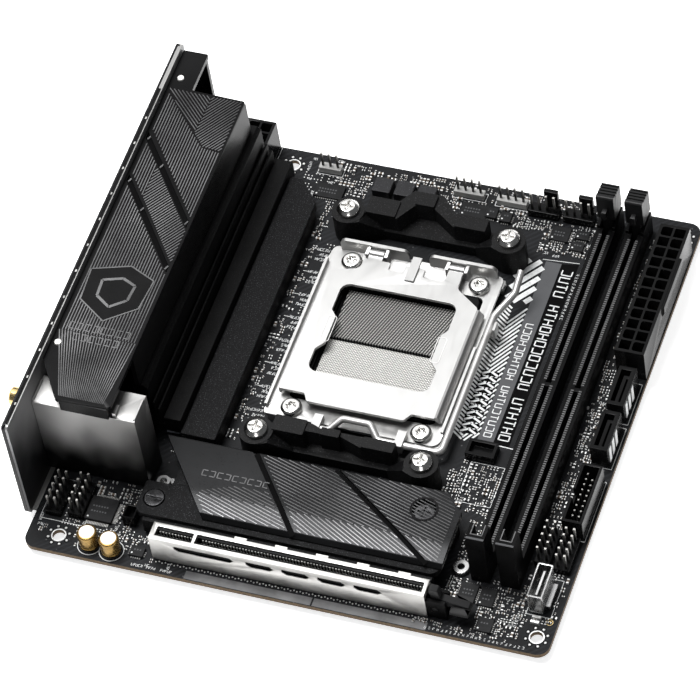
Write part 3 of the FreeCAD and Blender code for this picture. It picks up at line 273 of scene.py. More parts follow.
def painted_reflection_can_finish(name, base_z, top_z, shade_tone, reflection_tone, metal):
    """Bright sheet metal; upright faces carry painted reflections that get lighter with height and large
    noise, and fade into painted dark shade towards the board, while faces that point up take one lighter
    painted tone.
    """
    t = Tree(name)
    # painted reflection and shade: height and large noise set the upright faces' tone, and faces that point
    # up are painted lighter
    rise = t.ramp(t.axis("Z"), base_z, top_z)
    reflection_clouds = t.noise(16.0, 2.0, (1.0, 1.0, 0.6))
    tone = t.ramp(t.math("ADD", rise, reflection_clouds), 0.75, 1.35)
    flat = t.ramp(t.face_normal().outputs["Z"], 0.6, 0.8)
    upright = t.mix(tone, shade_tone, reflection_tone)
    t.put(t.shader.inputs["Base Color"], t.mix(flat, upright, (0.40, 0.397, 0.39)))
    t.shader.inputs["Metallic"].default_value = metal
    t.put(t.shader.inputs["Roughness"], t.ramp(reflection_clouds, 0.3, 0.7, 0.3, 0.42))
    t.bump(t.noise(9.0, 1.0), 0.002)
    return t.material


def pin_finish():
    """Plated header pins with painted shade that darkens them towards the board, bright at the tips."""
    dark_below, bright_above = 4.5, 8.6
    t = Tree("header_pin")
    # painted shade darkens the pins towards the board; the noise adds grime
    rise = t.ramp(t.axis("Z"), BOARD_HIGH.z + dark_below * MM, BOARD_HIGH.z + bright_above * MM)
    grime = t.ramp(t.noise(0.8), 0.35, 0.65, 0.6, 1.0)
    lit_and_clean = t.math("MULTIPLY", rise, grime)
    t.put(t.shader.inputs["Base Color"], t.mix(lit_and_clean, (0.03, 0.03, 0.029), (0.62, 0.61, 0.58)))
    t.shader.inputs["Metallic"].default_value = 0.8
    t.put(t.shader.inputs["Roughness"], t.ramp(grime, 0.6, 1.0, 0.4, 0.28))
    t.bump(t.noise(0.5), 0.005)
    return t.material


def contact_finish():
    """Spring contacts: the far half painted as dark slanted rows of shade, the near half as pale dots of
    painted highlight.
    """
    t = Tree("contact_field")
    pitch, lean, blend = 0.94 * MM, 0.35, 0.01 * MM
    middle = (sum(b[1] for b in span("socket_contacts")) / 2) * MM + ORIGIN.y
    far = t.ramp(t.axis("Y"), middle - blend, middle + blend)

    def wave(place):
        return t.math("SINE", t.math("MULTIPLY", place, 2 * math.pi / pitch))

    slant = wave(t.math("SUBTRACT", t.axis("X"), t.math("MULTIPLY", t.axis("Y"), lean)))
    rows, columns = wave(t.axis("Y")), wave(t.axis("X"))
    # painted shade in the far half's slanted rows and painted highlights on the near half's dots
    lines = t.mix(t.ramp(slant, -0.3, 0.4), (0.008, 0.008, 0.009), (0.33, 0.325, 0.31))
    peaks = t.ramp(t.math("MULTIPLY", rows, columns), -0.1, 0.4)
    tip_highlight_dots = t.mix(peaks, (0.30, 0.295, 0.285), (0.78, 0.77, 0.74))
    t.put(t.shader.inputs["Base Color"], t.mix(far, tip_highlight_dots, lines))
    t.put(t.shader.inputs["Metallic"], t.ramp(rows, -1, 1, 0.25, 0.6))
    t.put(t.shader.inputs["Roughness"], t.ramp(t.noise(1.5), 0.3, 0.7, 0.32, 0.5))
    t.bump(t.math("ADD", slant, rows), 0.05)
    return t.material


FINISHES = {
    "board": board_finish(),
    "contacts": contact_finish(),
    "pin": pin_finish(),
    "plate": finish("bright_plate", (0.50, 0.498, 0.492), 0.4, 0.9, grain=1.5, depth=0.0001, mottle=0.03,
        mottle_size=20, stretch=(1, 0.2, 1)),
    "frame": finish("frame_steel", (0.52, 0.517, 0.51), 0.36, 0.9, grain=1.5, depth=0.0002, mottle=0.06),
    "wire": finish("lever_steel", (0.72, 0.71, 0.70), 0.36, 0.7, grain=0.3, depth=0.005, mottle=0.08),
    "screw": finish("screw_plate", (0.80, 0.79, 0.77), 0.2, 1.0, grain=0.3, depth=0.01, mottle=0.1,
        mottle_size=1.5),
    "dark_screw": finish("black_screw", (0.05, 0.05, 0.052), 0.3, 1.0, grain=0.3, depth=0.01, mottle=0.3,
        mottle_size=1.5),
    "grained": finish("grained_plastic", (0.006, 0.006, 0.0063), 0.45, grain=0.3, depth=0.03, sparkle=0.5,
        sparkle_size=0.4, spec=0.13),
    "plastic": finish("black_plastic", (0.005, 0.005, 0.0052), 0.2, grain=0.4, depth=0.003, spec=0.12),
    "moulding": finish("slot_moulding", (0.004, 0.004, 0.0042), 0.32, grain=0.35, depth=0.006, mottle=0.3,
        spec=0.07),
    "latch": finish("latch_plastic", (0.014, 0.014, 0.0145), 0.34, grain=0.3, depth=0.01, spec=0.2),
    "anodised": finish("anodised_rail", (0.004, 0.004, 0.0042), 0.42, 0.2, grain=0.25, depth=0.02,
        sparkle=0.25, spec=0.09),
    "blasted": finish("blasted_slab", (0.0055, 0.0056, 0.006), 0.48, 0.2, grain=0.3, depth=0.07,
        sparkle=0.9, sparkle_size=0.32, spec=0.1),
    "cover": finish("satin_cover", (0.007, 0.007, 0.0073), 0.3, 0.4, grain=0.2, depth=0.003, mottle=0.5,
        mottle_size=45, spec=0.1),
    "drive_cover": finish("drive_cover", (0.013, 0.0133, 0.014), 0.3, 0.6, grain=0.4, depth=0.001,
        mottle=0.5, mottle_size=30, stretch=(0.6, 1, 1)),
    "ridge": finish("groove_edges", (0.12, 0.12, 0.122), 0.3, 0.5, grain=0.2, depth=0.005, mottle=0.8,
        mottle_size=30),
    # the Wi-Fi can and the rear shield get painted reflections and painted shade
    "can": painted_reflection_can_finish("plated_can", BOARD_HIGH.z, BOARD_HIGH.z + 34 * MM, (0.012, 0.012, 0.013),
        (0.42, 0.415, 0.41), 0.85),
    "shield": painted_reflection_can_finish("shield_steel", BOARD_HIGH.z, BOARD_HIGH.z + 44 * MM, (0.02, 0.02, 0.021),
        (0.26, 0.26, 0.262), 0.5),
    "port": finish("port_shell", (0.50, 0.50, 0.50), 0.24, 1.0, grain=0.3, depth=0.005, mottle=0.12),
    "armour": finish("slot_armour", (0.62, 0.61, 0.59), 0.38, 0.9, grain=2.0, depth=0.0001, mottle=0.06),
    "resin": finish("chip_resin", (0.012, 0.0122, 0.013), 0.4, spec=0.14, grain=0.15, depth=0.006,
        mottle=0.25, mottle_size=2),
    "ferrite": finish("choke_powder", (0.020, 0.020, 0.022), 0.5, 0.2, grain=0.2, depth=0.02,
        sparkle=0.2),
    "pale": finish("pale_moulding", (0.42, 0.42, 0.41), 0.42, grain=0.25, depth=0.01),
    "solder": finish("solder", (0.80, 0.80, 0.79), 0.32, 0.55, grain=0.35, depth=0.02, mottle=0.25,
        mottle_size=1.2, spec=0.5),
    "gold": finish("gold_plate", (0.80, 0.60, 0.28), 0.24, 1.0, grain=0.2, depth=0.005),
    "sleeve": finish("capacitor_sleeve", (0.30, 0.19, 0.06), 0.25, 0.8, grain=0.5, depth=0.005,
        mottle=0.35, mottle_size=2.0),
    "cap_top": finish("capacitor_top", (0.90, 0.89, 0.86), 0.35, 0.4, grain=0.3, depth=0.005, mottle=0.06,
        spec=0.5),
    "print": finish("white_print", (0.82, 0.83, 0.83), 0.5, grain=0.2, depth=0.005, mottle=0.15,
        mottle_size=1.0),
    "grey_print": finish("grey_print", (0.085, 0.087, 0.092), 0.5, grain=0.3, depth=0.005, mottle=0.1),
    "black_print": finish("black_print", (0.002, 0.002, 0.0022), 0.6, grain=0.3, depth=0.004, mottle=0.2,
        spec=0.04),
    "ceramic": finish("chip_ceramic", (0.13, 0.10, 0.075), 0.4, grain=0.2, depth=0.006, mottle=0.4,
        mottle_size=2.5),
    "dark_part": finish("resistor_body", (0.010, 0.010, 0.011), 0.32, grain=0.2, depth=0.006, mottle=0.4,
        mottle_size=2),
    "pad": finish("thermal_pad", (0.30, 0.32, 0.36), 0.8, grain=0.4, depth=0.03),
    "tooth": finish("light_trim", (0.15, 0.15, 0.152), 0.4, 0.2, grain=0.2, depth=0.006, mottle=0.35,
        mottle_size=9),
    "lead": finish("tinned_lead", (0.50, 0.495, 0.48), 0.34, 0.6, grain=0.2, depth=0.006, mottle=0.3,
        mottle_size=4, spec=0.5),
    "trim": finish("trim_black", (0.010, 0.010, 0.011), 0.34, 0.2, grain=0.3, depth=0.01, spec=0.2),
    "back": finish("backplate_black", (0.022, 0.022, 0.023), 0.42, 0.6, grain=0.3, depth=0.02,
        sparkle=0.15),
}


# -------- mesh helpers
class Bits:
    """Many small solids gathered into one mesh, in board millimetres."""

    def __init__(self):
        self.points = []
        self.faces = []

    def add(self, points, faces):
        start = len(self.points)
        self.points += points
        self.faces += [[start + i for i in face] for face in faces]

    def prism(self, outline, low, high, shrink=0.0, level=None):
        """Upright solid; shrink pulls the top outline in and level lifts each corner."""
        count = len(outline)
        lift = [level(x, y) if level else 0.0 for x, y in outline]
        mx = sum(p[0] for p in outline) / count
        my = sum(p[1] for p in outline) / count
        top = []
        for (x, y), up in zip(outline, lift):
            away = math.hypot(x - mx, y - my) or 1.0
            keep = 1 - shrink / away
            top.append((mx + (x - mx) * keep, my + (y - my) * keep, high + up))
        points = [(x, y, low + up) for (x, y), up in zip(outline, lift)] + top
        faces = [list(range(count))[::-1], list(range(count, 2 * count))]
        faces += [[i, (i + 1) % count, count + (i + 1) % count, count + i] for i in range(count)]
        self.add(points, faces)

    def box(self, x0, y0, z0, x1, y1, z1, shrink=0.0):
        self.prism([(x0, y0), (x1, y0), (x1, y1), (x0, y1)], z0, z1, shrink)

    def stroke(self, a, b, wide, low, high, level=None):
        """Bar along the line from a to b."""
        dx, dy = b[0] - a[0], b[1] - a[1]
        run = math.hypot(dx, dy)
        nx, ny = -dy / run * wide / 2, dx / run * wide / 2
        self.prism([(a[0] - nx, a[1] - ny), (b[0] - nx, b[1] - ny), (b[0] + nx, b[1] + ny),
                    (a[0] + nx, a[1] + ny)], low, high, 0.0, level)

    @staticmethod
    def circle(x, y, radius, sides):
        """Corners of a regular outline."""
        turns = [2 * math.pi * i / sides for i in range(sides)]
        return [(x + radius * math.cos(turn), y + radius * math.sin(turn)) for turn in turns]

    def round(self, x, y, radius, low, high, sides=12, shrink=0.0):
        self.prism(self.circle(x, y, radius, sides), low, high, shrink)

    def ring(self, x, y, inner, outer, low, high):
        """Flat ring with square edges."""
        sides = 32
        points = []
        for radius, z in ((inner, low), (outer, low), (outer, high), (inner, high)):
            points += [(px, py, z) for px, py in self.circle(x, y, radius, sides)]
        faces = []
        for row in range(4):
            after = (row + 1) % 4
            faces += [[row * sides + i, row * sides + (i + 1) % sides, after * sides + (i + 1) % sides,
                       after * sides + i] for i in range(sides)]
        self.add(points, faces)

    def piece(self, name, material, slot, body="board"):
        """Turn the gathered solids into one named object that rides on a body."""
        mesh = bpy.data.meshes.new(name)
        mesh.from_pydata([ORIGIN + Vector(p) * MM for p in self.points], [], self.faces)
        work = bmesh.new()
        work.from_mesh(mesh)
        bmesh.ops.recalc_face_normals(work, faces=work.faces)
        work.to_mesh(mesh)
        work.free()
        thing = bpy.data.objects.new(name, mesh)
        bpy.context.scene.collection.objects.link(thing)
        mesh.materials.append(FINISHES[material])
        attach(thing, body)


SLOT_OF = {entry["node"]: entry["material_slot"] for entry in frame["record"]["subparts"]}


def eased(node, material, width):
    """Copy of a CAD node with its sharp edges eased, standing for the node."""
    source = NODES[node]
    mesh = source.data.copy()
    work = bmesh.new()
    work.from_mesh(mesh)
    bmesh.ops.remove_doubles(work, verts=work.verts, dist=2e-6)
    bmesh.ops.dissolve_limit(work, angle_limit=math.radians(0.6), verts=work.verts, edges=work.edges)
    work.to_mesh(mesh)
    work.free()
    thing = bpy.data.objects.new(node + "_eased", mesh)
    bpy.context.scene.collection.objects.link(thing)
    mesh.materials.clear()
    mesh.materials.append(FINISHES[material])
    bevel = thing.modifiers.new("ease", "BEVEL")
    bevel.width = width * MM
    bevel.segments = 2
    bevel.limit_method = "ANGLE"
    bevel.angle_limit = math.radians(35)
    seen = bpy.context.evaluated_depsgraph_get()
    thing.data = bpy.data.meshes.new_from_object(thing.evaluated_get(seen))
    thing.modifiers.clear()
    thing.data.shade_smooth()
    thing.data.set_sharp_from_angle(angle=math.radians(22))
    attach(thing, BODY_OF[node])
    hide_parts(node)


def dress(node, material):
    """Give a CAD node its finish."""
    mesh = NODES[node].data
    mesh.materials.clear()
    mesh.materials.append(FINISHES[material])


EASED = {
    "backplate": ("back", 0.3), "socket_base": ("plastic", 0.2), "socket_frame": ("frame", 0.12),
    "load_plate": ("plate", 0.14), "socket_screws": ("screw", 0.1), "bracket_screws": ("screw", 0.15),
    "pcie_slot": ("moulding", 0.1), "pcie_armour": ("armour", 0.08), "pcie_latch": ("latch", 0.15),
    "m2_heatsink": ("blasted", 0.25), "m2_cover": ("drive_cover", 0.12), "m2_screws": ("dark_screw", 0.12),
    "m2_socket": ("moulding", 0.1), "m2_standoffs": ("port", 0.1), "chipset": ("resin", 0.1),
    "atx_power_socket": ("plastic", 0.12), "cpu_power_socket": ("plastic", 0.12),
    "usb_c_header": ("port", 0.08), "usb3_header": ("plastic", 0.12),
    "front_panel_headers": ("plastic", 0.15), "audio_headers": ("plastic", 0.15),
    "lighting_headers": ("pale", 0.15), "fan_headers": ("plastic", 0.15), "small_sockets": ("plastic", 0.12),
    "board_chips": ("resin", 0.1), "power_chokes": ("ferrite", 0.3), "vrm_chokes": ("ferrite", 0.3),
    "vrm_heatsink": ("anodised", 0.15), "vrm_slab": ("blasted", 0.3), "io_cover": ("cover", 0.3),
    "cooler_bracket_near": ("grained", 0.3), "cooler_bracket_far": ("grained", 0.3),
    "dimm_slot_1": ("moulding", 0.12), "dimm_slot_2": ("moulding", 0.12),
    "dimm_latch_1": ("latch", 0.12), "dimm_latch_2": ("latch", 0.12),
    "sata_port_1": ("plastic", 0.12), "sata_port_2": ("plastic", 0.12), "wifi_housing": ("can", 0.2),
    "io_trim": ("trim", 0.15), "io_shield": ("shield", 0.1), "flashback_button": ("latch", 0.15),
    "antenna_connectors": ("gold", 0.12), "audio_jacks": ("plastic", 0.15),
}
PLAIN = {
    "circuit_board": "board", "socket_contacts": "contacts", "load_lever": "wire", "power_pins": "gold",
    "header_pins": "pin", "audio_capacitors": "sleeve", "vrm_transistors": "resin", "thermal_pads": "pad",
    "lan_usb_port": "port", "usb_port_stack": "port", "usb_c_port": "port", "video_ports": "port",
    "flashback_switch": "plastic", "wifi_module": "resin", "cmos_battery": "plastic",
}
for node, (material, width) in EASED.items():
    eased(node, material, width)
for node, material in PLAIN.items():
    dress(node, material)
missing = set(NODES) - set(EASED) - set(PLAIN)
if missing:
    raise RuntimeError(f"no finish for {missing}")


# -------- free places on the board's top face
BOARD_SIDE = 170
EDGE = 0.7
HOLE_CLEAR = 4.2
SLAB_FOOTPRINT = (36.4, 47.6, 48.0, 150.0)
PRINTED_BAND = (117.0, 70.5, 138.4, 146.0)
ROOFS = ("circuit_board", "backplate", "io_cover", "load_plate", "vrm_slab")
CASE_HOLES = [(10.16, 6.17), (165.10, 6.17), (33.02, 163.65), (165.10, 163.65)]
taken = []


def block_out(x0, y0, x1, y1, gap=0.25):
    """Reserve a rectangle of the board so that nothing is scattered on it."""
    taken.append((x0 - gap, y0 - gap, x1 + gap, y1 + gap))


def is_free(x0, y0, x1, y1):
    """Whether a rectangle lies on the board and touches nothing reserved."""
    if min(x0, y0) < EDGE or max(x1, y1) > BOARD_SIDE - EDGE:
        return False
    return not any(x0 < b[2] and x1 > b[0] and y0 < b[3] and y1 > b[1] for b in taken)


for node in NODES:
    if node not in ROOFS:
        for low, high in islands(node):
            block_out(low[0], low[1], high[0], high[1])
block_out(*SLAB_FOOTPRINT)
for hole_x, hole_y in CASE_HOLES:
    block_out(hole_x - HOLE_CLEAR, hole_y - HOLE_CLEAR, hole_x + HOLE_CLEAR, hole_y + HOLE_CLEAR)

INK = 0.03
PIECE_OF = {
    "ceramic": ("small_capacitors", "board_chips"), "dark_part": ("small_resistors", "board_chips"),
    "solder": ("solder_ends", "header_pins"), "print": ("white_markings", "circuit_board"),
    "grey_print": ("grey_markings", "circuit_board"), "black_print": ("black_markings", "circuit_board"),
    "gold": ("gold_pads", "antenna_connectors"), "tooth": ("light_trims", "m2_cover"),
    "ridge": ("cover_lines", "io_cover"), "plastic": ("dark_trims", "atx_power_socket"),
    "cap_top": ("bright_tops", "audio_capacitors"), "lead": ("leads", "header_pins"),
}
kit = {finish_key: Bits() for finish_key in PIECE_OF}


# -------- small parts and ink
def chip_part(x, y, long, wide, high, upright, body):
    """Two-terminal part with soldered ends; upright lies along y."""
    half_x, half_y = (wide / 2, long / 2) if upright else (long / 2, wide / 2)
    if not is_free(x - half_x, y - half_y, x + half_x, y + half_y):
        return False
    block_out(x - half_x, y - half_y, x + half_x, y + half_y, 0.15)
    inset = 0.05
    kit[body].box(x - half_x + inset, y - half_y + inset, 0.02, x + half_x - inset, y + half_y - inset,
                  high, 0.03)
    end = 0.27 * long
    for way in (-1, 1):
        edge = (y + way * half_y) if upright else (x + way * half_x)
        low_end, high_end = min(edge, edge - way * end), max(edge, edge - way * end)
        if upright:
            kit["solder"].box(x - half_x, low_end, 0, x + half_x, high_end, high + 0.03, 0.04)
        else:
            kit["solder"].box(low_end, y - half_y, 0, high_end, y + half_y, high + 0.03, 0.04)
    return True


SIZES = ((1.1, 0.55, 0.5, "ceramic"), (1.1, 0.55, 0.36, "dark_part"), (1.7, 0.85, 0.75, "ceramic"),
         (1.7, 0.85, 0.45, "dark_part"), (0.8, 0.42, 0.3, "ceramic"))


def scatter(x0, y0, x1, y1, tries):
    """Rows of small parts at seeded places inside a rectangle."""
    for _ in range(tries):
        long, wide, high, body = SIZES[dice.choice((0, 0, 0, 1, 1, 2, 3, 4, 4))]
        upright = dice.random() < 0.5
        x, y = dice.uniform(x0, x1), dice.uniform(y0, y1)
        step = wide + dice.choice((0.35, 0.5, 0.7))
        for place in range(dice.choice((1, 1, 2, 3, 4))):
            px = x + (place * step if upright else 0)
            py = y + (0 if upright else place * step)
            if not (x0 < px < x1 and y0 < py < y1 and chip_part(px, py, long, wide, high, upright, body)):
                break


def dots(x0, y0, x1, y1, pitch, chance, radius=0.2):
    """Grid of bare test points and plated holes."""
    y = y0
    while y < y1:
        x = x0
        while x < x1:
            if dice.random() < chance and is_free(x - radius, y - radius, x + radius, y + radius):
                kit["solder"].round(x, y, radius, 0, INK + 0.01, sides=8)
            x += pitch
        y += pitch


TICKS = (((0, 0), (0, 1)), ((0, 0), (0.6, 0)), ((0, 1), (0.6, 1)), ((0.6, 0), (0.6, 1)),
         ((0, 0.5), (0.6, 0.5)), ((0, 0), (0.6, 1)))


def marks(x, y, count, tall=0.85, upright=False):
    """Short row of abstract ink ticks standing for placement marks."""
    for place in range(count):
        for ends in dice.sample(TICKS, 3):
            points = []
            for u, v in ends:
                u, v = (place * 0.9 + u) * tall, v * tall
                points.append((x - v, y + u) if upright else (x + u, y + v))
            kit["print"].stroke(points[0], points[1], 0.15 * tall, 0, INK)


def mark_field(x0, y0, x1, y1, tries):
    """Short rows of ticks at seeded free places inside a rectangle."""
    for _ in range(tries):
        count, upright = dice.choice((2, 3, 4, 4, 5)), dice.random() < 0.4
        x, y = dice.uniform(x0, x1), dice.uniform(y0, y1)
        run = 0.78 * count
        room = (x - 0.9, y, x, y + run) if upright else (x, y, x + run, y + 0.9)
        if room[2] < x1 and room[3] < y1 and is_free(*room):
            marks(x, y, count, upright=upright)
            block_out(*room, 0.1)


def outline(x0, y0, x1, y1):
    """White line round a rectangle."""
    corners = [(x0, y0), (x1, y0), (x1, y1), (x0, y1)]
    for a, b in zip(corners, corners[1:] + corners[:1]):
        kit["print"].stroke(a, b, 0.16, 0, INK)


def hatch(bits, corners, way, pitch, wide, low, high, level=None):
    """Parallel bars clipped to a convex outline."""
    run = math.hypot(*way)
    dx, dy = way[0] / run, way[1] / run
    sides = list(zip(corners, corners[1:] + corners[:1]))
    across = [y * dx - x * dy for x, y in corners]
    offset = math.floor(min(across) / pitch) * pitch
    while offset < max(across):
        cuts = []
        for (ax, ay), (bx, by) in sides:
            sa, sb = ay * dx - ax * dy - offset, by * dx - bx * dy - offset
            if sa * sb < 0:
                f = sa / (sa - sb)
                cuts.append((ax + (bx - ax) * f) * dx + (ay + (by - ay) * f) * dy)
        if len(cuts) >= 2 and max(cuts) - min(cuts) > 0.6:
            ends = [(t * dx - offset * dy, t * dy + offset * dx) for t in (min(cuts), max(cuts))]
            bits.stroke(ends[0], ends[1], wide, low, high, level)
        offset += pitch


# -------- board population
def case_hole_rings():
    """Plated ring with eight solder dots on black discs round each case hole."""
    dot_circle, dot_count = 3.35, 8
    for x, y in CASE_HOLES:
        kit["solder"].ring(x, y, 2.02, 2.4, 0, INK)
        for step in range(dot_count):
            turn = 2 * math.pi * (step + 0.5) / dot_count
            dot_x, dot_y = x + dot_circle * math.cos(turn), y + dot_circle * math.sin(turn)
            kit["solder"].round(dot_x, dot_y, 0.48, 0, 0.12, shrink=0.2)
            kit["black_print"].round(dot_x, dot_y, 0.75, 0, 0.02)


def phase_column():
    """Repeated group of parts and marks between the heatsink slab and the processor socket."""
    phase_pitch = 9.4
    for step in range(9):
        y = 62.0 + phase_pitch * step
        for dx, dy, size in ((49.0, 0.2, 2), (49.0, 1.5, 2), (50.9, 0.4, 0), (49.2, 3.2, 1), (50.8, 2.6, 4)):
            long, wide, high, body = SIZES[size]
            chip_part(dx, y + dy, long, wide, high, step % 2 == 0, body)
        kit["solder"].stroke((50.4, y + 4.4), (52.4, y + 4.4), 0.18, 0, INK)
        for row, (x, count) in enumerate(((52.6, 4), (53.4, 5), (52.2, 5))):
            if is_free(x, y + 2.0 * row, x + 0.75 * count, y + 2.0 * row + 0.8):
                marks(x, y + 2.0 * row, count, 0.95)
                block_out(x, y + 2.0 * row, x + 0.75 * count, y + 2.0 * row + 0.8, 0.1)
    dots(54.6, 60.0, 57.0, 136.0, 1.15, 0.45)
    scatter(48.4, 54.0, 52.0, 150.0, 120)


def crowded_fields():
    """Dense parts, plated holes and marks where the board's top face is open."""
    for x0, y0, x1, y1 in ((37.0, 151.5, 60.0, 162.4), (88.0, 149.5, 137.8, 162.4)):
        dots(x0, y0, x1, y1, 1.15, 0.62, 0.22)
    scatter(48.5, 146.0, 60.0, 168.0, 150)
    scatter(60.0, 155.5, 138.0, 168.6, 420)
    scatter(99.0, 147.5, 138.0, 160.0, 240)
    mark_field(37.0, 146.0, 138.0, 169.0, 190)
    scatter(156.0, 28.0, 162.0, 160.0, 520)
    scatter(156.0, 5.0, 169.0, 30.0, 130)
    mark_field(156.0, 6.0, 169.0, 160.0, 150)
    dots(156.2, 40.0, 160.0, 150.0, 1.3, 0.25)
    scatter(118.5, 45.0, 138.0, 63.0, 300)
    dots(117.5, 44.5, 126.0, 67.5, 1.1, 0.8, 0.22)
    mark_field(118.0, 44.0, 138.2, 64.0, 60)
    scatter(131.5, 18.0, 138.6, 44.0, 90)
    dots(133.0, 16.0, 138.5, 43.5, 1.1, 0.7, 0.22)
    scatter(126.0, 2.0, 160.0, 22.0, 420)
    dots(133.0, 8.0, 158.0, 20.0, 1.25, 0.4)
    mark_field(125.0, 1.0, 168.0, 22.0, 110)
    scatter(24.0, 9.0, 42.0, 30.0, 190)
    scatter(3.0, 2.0, 42.0, 30.0, 170)
    dots(9.5, 9.0, 15.6, 27.0, 0.95, 0.8, 0.2)
    dots(24.0, 8.5, 33.0, 27.0, 1.1, 0.5, 0.2)
    mark_field(2.0, 1.0, 50.0, 26.0, 90)
    scatter(33.0, 30.0, 44.0, 47.0, 60)
    scatter(8.0, 156.0, 32.0, 159.8, 30)
    scatter(140.0, 2.0, 156.0, 14.0, 50)


def loose_marks():
    """Outlines, single solder joints and tick rows that belong to no other group."""
    outline(126.1, 48.2, 137.0, 63.5)
    for x, y, radius in ((144.2, 92.6, 0.75), (154.9, 91.9, 0.75), (142.0, 14.6, 0.6), (146.8, 14.6, 0.6),
                         (151.6, 14.6, 0.6)):
        kit["solder"].round(x, y, radius, 0, 0.5, sides=10, shrink=0.35)
    kit["gold"].round(167.3, 12.2, 0.55, 0, INK + 0.01, sides=12)
    kit["gold"].ring(167.3, 12.2, 0.95, 1.1, 0, INK)
    kit["solder"].box(161.6, 10.4, 0, 164.6, 11.4, 1.0, 0.15)
    kit["solder"].box(161.6, 12.2, 0, 164.6, 13.2, 1.0, 0.15)
    outline(159.4, 13.6, 167.2, 27.6)
    outline(162.0, 42.9, 169.0, 65.9)
    outline(1.9, 11.2, 16.6, 26.8)
    outline(87.8, 162.9, 99.0, 166.4)
    outline(102.4, 162.5, 113.5, 166.0)
    outline(41.7, 162.3, 50.3, 165.8)
    for row in range(4):
        marks(155.4, 8.0 + 1.1 * row, 5, 0.6)
    for x, count in ((5.0, 2), (20.0, 4), (25.0, 3), (29.0, 4), (36.0, 5), (41.0, 4), (45.6, 5)):
        if is_free(x, 1.0, x + count * 0.8, 1.9):
            marks(x, 1.0, count)
    for step in range(24):
        marks(131.0 + 1.35 * step, 1.0, 1, 0.8)


def chip_leads():
    """Soldered leads, first-lead dot and grey marks on the top of every flat chip."""
    for (x0, y0, _), (x1, y1, z1) in islands("board_chips"):
        wide, deep = x1 - x0, y1 - y0
        big = wide > 8 and deep > 8
        reach, pitch = (1.25, 0.5) if big else (0.45, 0.7)
        for side in range(4):
            run = wide if side < 2 else deep
            if not big and side > 1 and wide > deep + 1:
                continue
            for place in range(int((run - 0.8) / pitch)):
                at = 0.7 + place * pitch
                if side < 2:
                    y = y0 - reach if side == 0 else y1
                    kit["lead"].box(x0 + at, y, 0, x0 + at + pitch * 0.5, y + reach, 0.3, 0.04)
                else:
                    x = x0 - reach if side == 2 else x1
                    kit["lead"].box(x, y0 + at, 0, x + reach, y0 + at + pitch * 0.5, 0.3, 0.04)
        kit["print"].round(x0 + 0.9, y0 + 0.9, 0.3, z1, z1 + 0.02, sides=10)
        for row in range(2 if deep > 5 else 1):
            marks_at = y0 + deep * (0.55 - 0.22 * row)
            for place in range(int(wide / 1.3)):
                left = x0 + 1.2 + place * 0.9
                kit["grey_print"].box(left, marks_at, z1, left + 0.5, marks_at + 0.5, z1 + 0.02)


def capacitor_tops():
    """Bright disc with a vent cross on each capacitor, its base collar and its printed ring."""
    cross = 1.3
    for (x0, y0, _), (x1, y1, z1) in islands("audio_capacitors"):
        x, y = (x0 + x1) / 2, (y0 + y1) / 2
        kit["cap_top"].round(x, y, 2.45, z1, z1 + 0.05, sides=28, shrink=0.1)
        kit["plastic"].ring(x, y, 3.2, 3.45, 0, 1.0)
        kit["print"].ring(x, y, 3.75, 4.0, 0, INK)
        for way in ((1, 0), (0, 1)):
            kit["lead"].stroke((x - cross * way[0], y - cross * way[1]),
                               (x + cross * way[0], y + cross * way[1]), 0.1, z1 + 0.05, z1 + 0.07)


# -------- printed bands beside the socket
RIGHT_ARM, LEFT_ARM, STRIPE_WAY = (0.577, 0.877), (-0.82, 0.572), (0.62, 0.785)


def glyph(kind, x, y, tall, run, wide, low, high):
    """One of five plain marks built from straight bars, for rows that run up the board."""
    x1, y1 = x + tall, y + run
    shapes = (
        ((x, y, x1, y), (x1, y, x1, y1), (x1, y1, x, y1), (x, y1, x, y)),
        ((x, y, x1, y), (x, y1, x1, y1), (x, y, x, y1)),
        ((x, y, x1, y), (x, y1, x1, y1), ((x + x1) / 2, y, (x + x1) / 2, y1)),
        ((x, y, x1, y), (x1, y, x1, y1), (x, y, x, y1)),
        ((x, (y + y1) / 2, x1, (y + y1) / 2), (x1, y, x1, y1)),
    )
    for ax, ay, bx, by in shapes[kind % len(shapes)]:
        kit["print"].stroke((ax, ay), (bx, by), wide, low, high)


